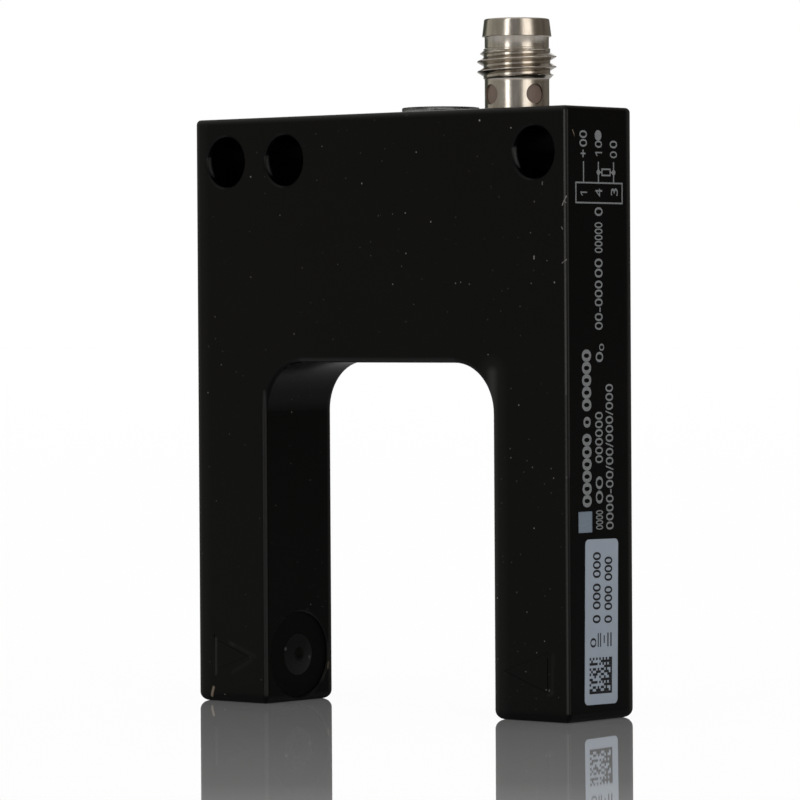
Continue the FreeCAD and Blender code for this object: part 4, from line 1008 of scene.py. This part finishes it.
# Share that the sheet mirrors, by how flat it is seen: 0 is from above and 1 is along it
FLOOR_MIRROR = [
    (0.5, 0.02), (0.8, 0.04), (0.87, 0.2), (0.9, 0.852), (0.9165, 0.9), (0.935, 0.93), (1.0, 0.97),
]
FLOOR_GLOW = 0.42  # what the camera sees on top of the light that falls on the sheet
FLOOR_GREY = 0.8

# Soft boxes: name, azimuth (degrees, from the front to the right), width (m), radiance, colour
LAMPS = [
    ("front_soft_box", 6.5, 0.135, 3.0, (1.0, 0.985, 0.96)),
    ("right_soft_box", 76, 0.33, 1.45, (1.0, 0.955, 0.89)),
]
LAMP_DISTANCE, LAMP_HEIGHT, LAMP_MIDDLE = 0.6, 0.9, 0.16  # metres


def build_floor():
    """A glossy white sheet. It mirrors more the flatter it is seen."""
    start_clean()
    bpy.ops.mesh.primitive_plane_add(size=8)
    floor = named("floor")
    material, tree = new_material("white_sheet")
    facing = node(tree, "ShaderNodeLayerWeight", {"Blend": 0.5}).outputs["Facing"]
    mirror = ramp(tree, facing, FLOOR_MIRROR)
    seen = node(tree, "ShaderNodeLightPath").outputs["Is Camera Ray"]
    strength = calc(tree, "MULTIPLY", seen, FLOOR_GLOW)
    glow = node(tree, "ShaderNodeEmission", {"Color": grey(1), "Strength": strength})
    sheet = node(tree, "ShaderNodeBsdfDiffuse", {"Color": grey(FLOOR_GREY)})
    body = node(tree, "ShaderNodeAddShader", {0: glow.outputs[0], 1: sheet.outputs[0]})
    gloss = node(tree, "ShaderNodeBsdfGlossy", {"Color": grey(1), "Roughness": 0.025})
    mix = node(tree, "ShaderNodeMixShader", {0: mirror, 1: body.outputs[0], 2: gloss.outputs[0]})
    node(tree, "ShaderNodeOutputMaterial", {"Surface": mix.outputs[0]})
    floor.data.materials.append(material)


def add_lamp(name, azimuth, width, radiance, colour):
    """A soft box that faces the object, with the radiance that a mirror would show."""
    turn = math.radians(azimuth)
    start_clean()
    bpy.ops.object.light_add(type="AREA", location=(
        math.sin(turn) * LAMP_DISTANCE, -math.cos(turn) * LAMP_DISTANCE, LAMP_MIDDLE))
    lamp = bpy.context.active_object
    lamp.name = name
    lamp.rotation_euler = (math.pi / 2, 0, turn)
    lamp.data.shape = "RECTANGLE"
    lamp.data.size = width
    lamp.data.size_y = LAMP_HEIGHT
    lamp.data.energy = radiance * math.pi * width * LAMP_HEIGHT
    lamp.data.color = colour
    lamp.visible_camera = False


# What a mirror shows round the object, by azimuth in degrees: the lit backdrop behind it and a dim room
SURROUND = [
    (-180, (0.15, 0.14, 0.12)), (-153, (0.13, 0.12, 0.105)), (-151, (1, 1, 1)), (-128, (1, 1, 1)),
    (-126, (0.06, 0.07, 0.06)), (-88, (0.07, 0.08, 0.06)), (-83, (0.58, 0.56, 0.50)),
    (-70, (0.44, 0.43, 0.38)), (-50, (0.34, 0.33, 0.29)), (-12, (0.30, 0.29, 0.26)),
    (14, (0.24, 0.235, 0.23)), (48, (0.20, 0.195, 0.19)), (59, (0.42, 0.40, 0.37)),
    (93, (0.34, 0.31, 0.27)), (106, (0.13, 0.115, 0.095)), (122, (0.11, 0.095, 0.08)),
    (130, (0.18, 0.165, 0.14)), (137, (0.17, 0.155, 0.13)), (143, (0.085, 0.075, 0.065)),
    (150, (0.10, 0.09, 0.08)), (157, (0.19, 0.175, 0.155)),
    (180, (0.15, 0.14, 0.12)),
]
CEILING_STOPS = [(0.5, 0), (0.8, 1)]  # how far up the lit ceiling starts and is full
CEILING = (0.62, 0.61, 0.58, 1)
ROOM_GREY = 0.5  # light from all round, for everything but mirrors


def build_world():
    world = bpy.data.worlds.new("studio")
    bpy.context.scene.world = world
    world.use_nodes = True
    tree = world.node_tree
    tree.nodes.clear()
    direction = node(tree, "ShaderNodeTexCoord").outputs["Generated"]
    x, y, z = node(tree, "ShaderNodeSeparateXYZ", {0: direction}).outputs
    azimuth = calc(tree, "ARCTAN2", x, calc(tree, "MULTIPLY", y, -1))
    turn = calc(tree, "MULTIPLY_ADD", azimuth, 1 / math.tau, 0.5)
    around = ramp(tree, turn, [((degrees + 180) / 360, tone) for degrees, tone in SURROUND])
    # The ceiling over the set is lit as well
    around = blend(tree, ramp(tree, z, CEILING_STOPS), around, CEILING)
    path = node(tree, "ShaderNodeLightPath").outputs
    clear = calc(tree, "MAXIMUM", path["Is Camera Ray"], path["Is Transmission Ray"])
    tone = blend(tree, path["Is Glossy Ray"], grey(ROOM_GREY), around)
    tone = blend(tree, clear, tone, grey(1))
    back = node(tree, "ShaderNodeBackground", {"Color": tone, "Strength": 1.0})
    node(tree, "ShaderNodeOutputWorld", {"Surface": back.outputs[0]})


# The camera that was fitted to the photo's outline: place in metres, lens and sensor in mm, and its
# turn, its look down and its roll in degrees
CAMERA_PLACE = (0.312781, -0.367643, 0.039864)
CAMERA_LENS, CAMERA_SENSOR = 215.203, 36.0
CAMERA_TURN, CAMERA_DOWN, CAMERA_ROLL = 40.504, 1.0306, -0.3399


def build_camera():
    start_clean()
    bpy.ops.object.camera_add(location=CAMERA_PLACE)
    camera = bpy.context.active_object
    camera.name = "camera"
    camera.data.lens = CAMERA_LENS
    camera.data.sensor_width = CAMERA_SENSOR
    turn = Matrix.Rotation(math.radians(CAMERA_TURN), 4, "Z")
    tilt = Matrix.Rotation(math.radians(90 - CAMERA_DOWN), 4, "X")
    roll = Matrix.Rotation(math.radians(CAMERA_ROLL), 4, "Z")
    camera.rotation_euler = (turn @ tilt @ roll).to_euler()
    bpy.context.scene.camera = camera


def build_stage():
    scene = bpy.context.scene
    scene.view_settings.view_transform = "Standard"
    build_floor()
    for lamp in LAMPS:
        add_lamp(*lamp)
    build_world()
    build_camera()


dress_cad_nodes()
build_connector_shell()
build_lock_plugs()
build_side_print()
build_label()
build_stage()
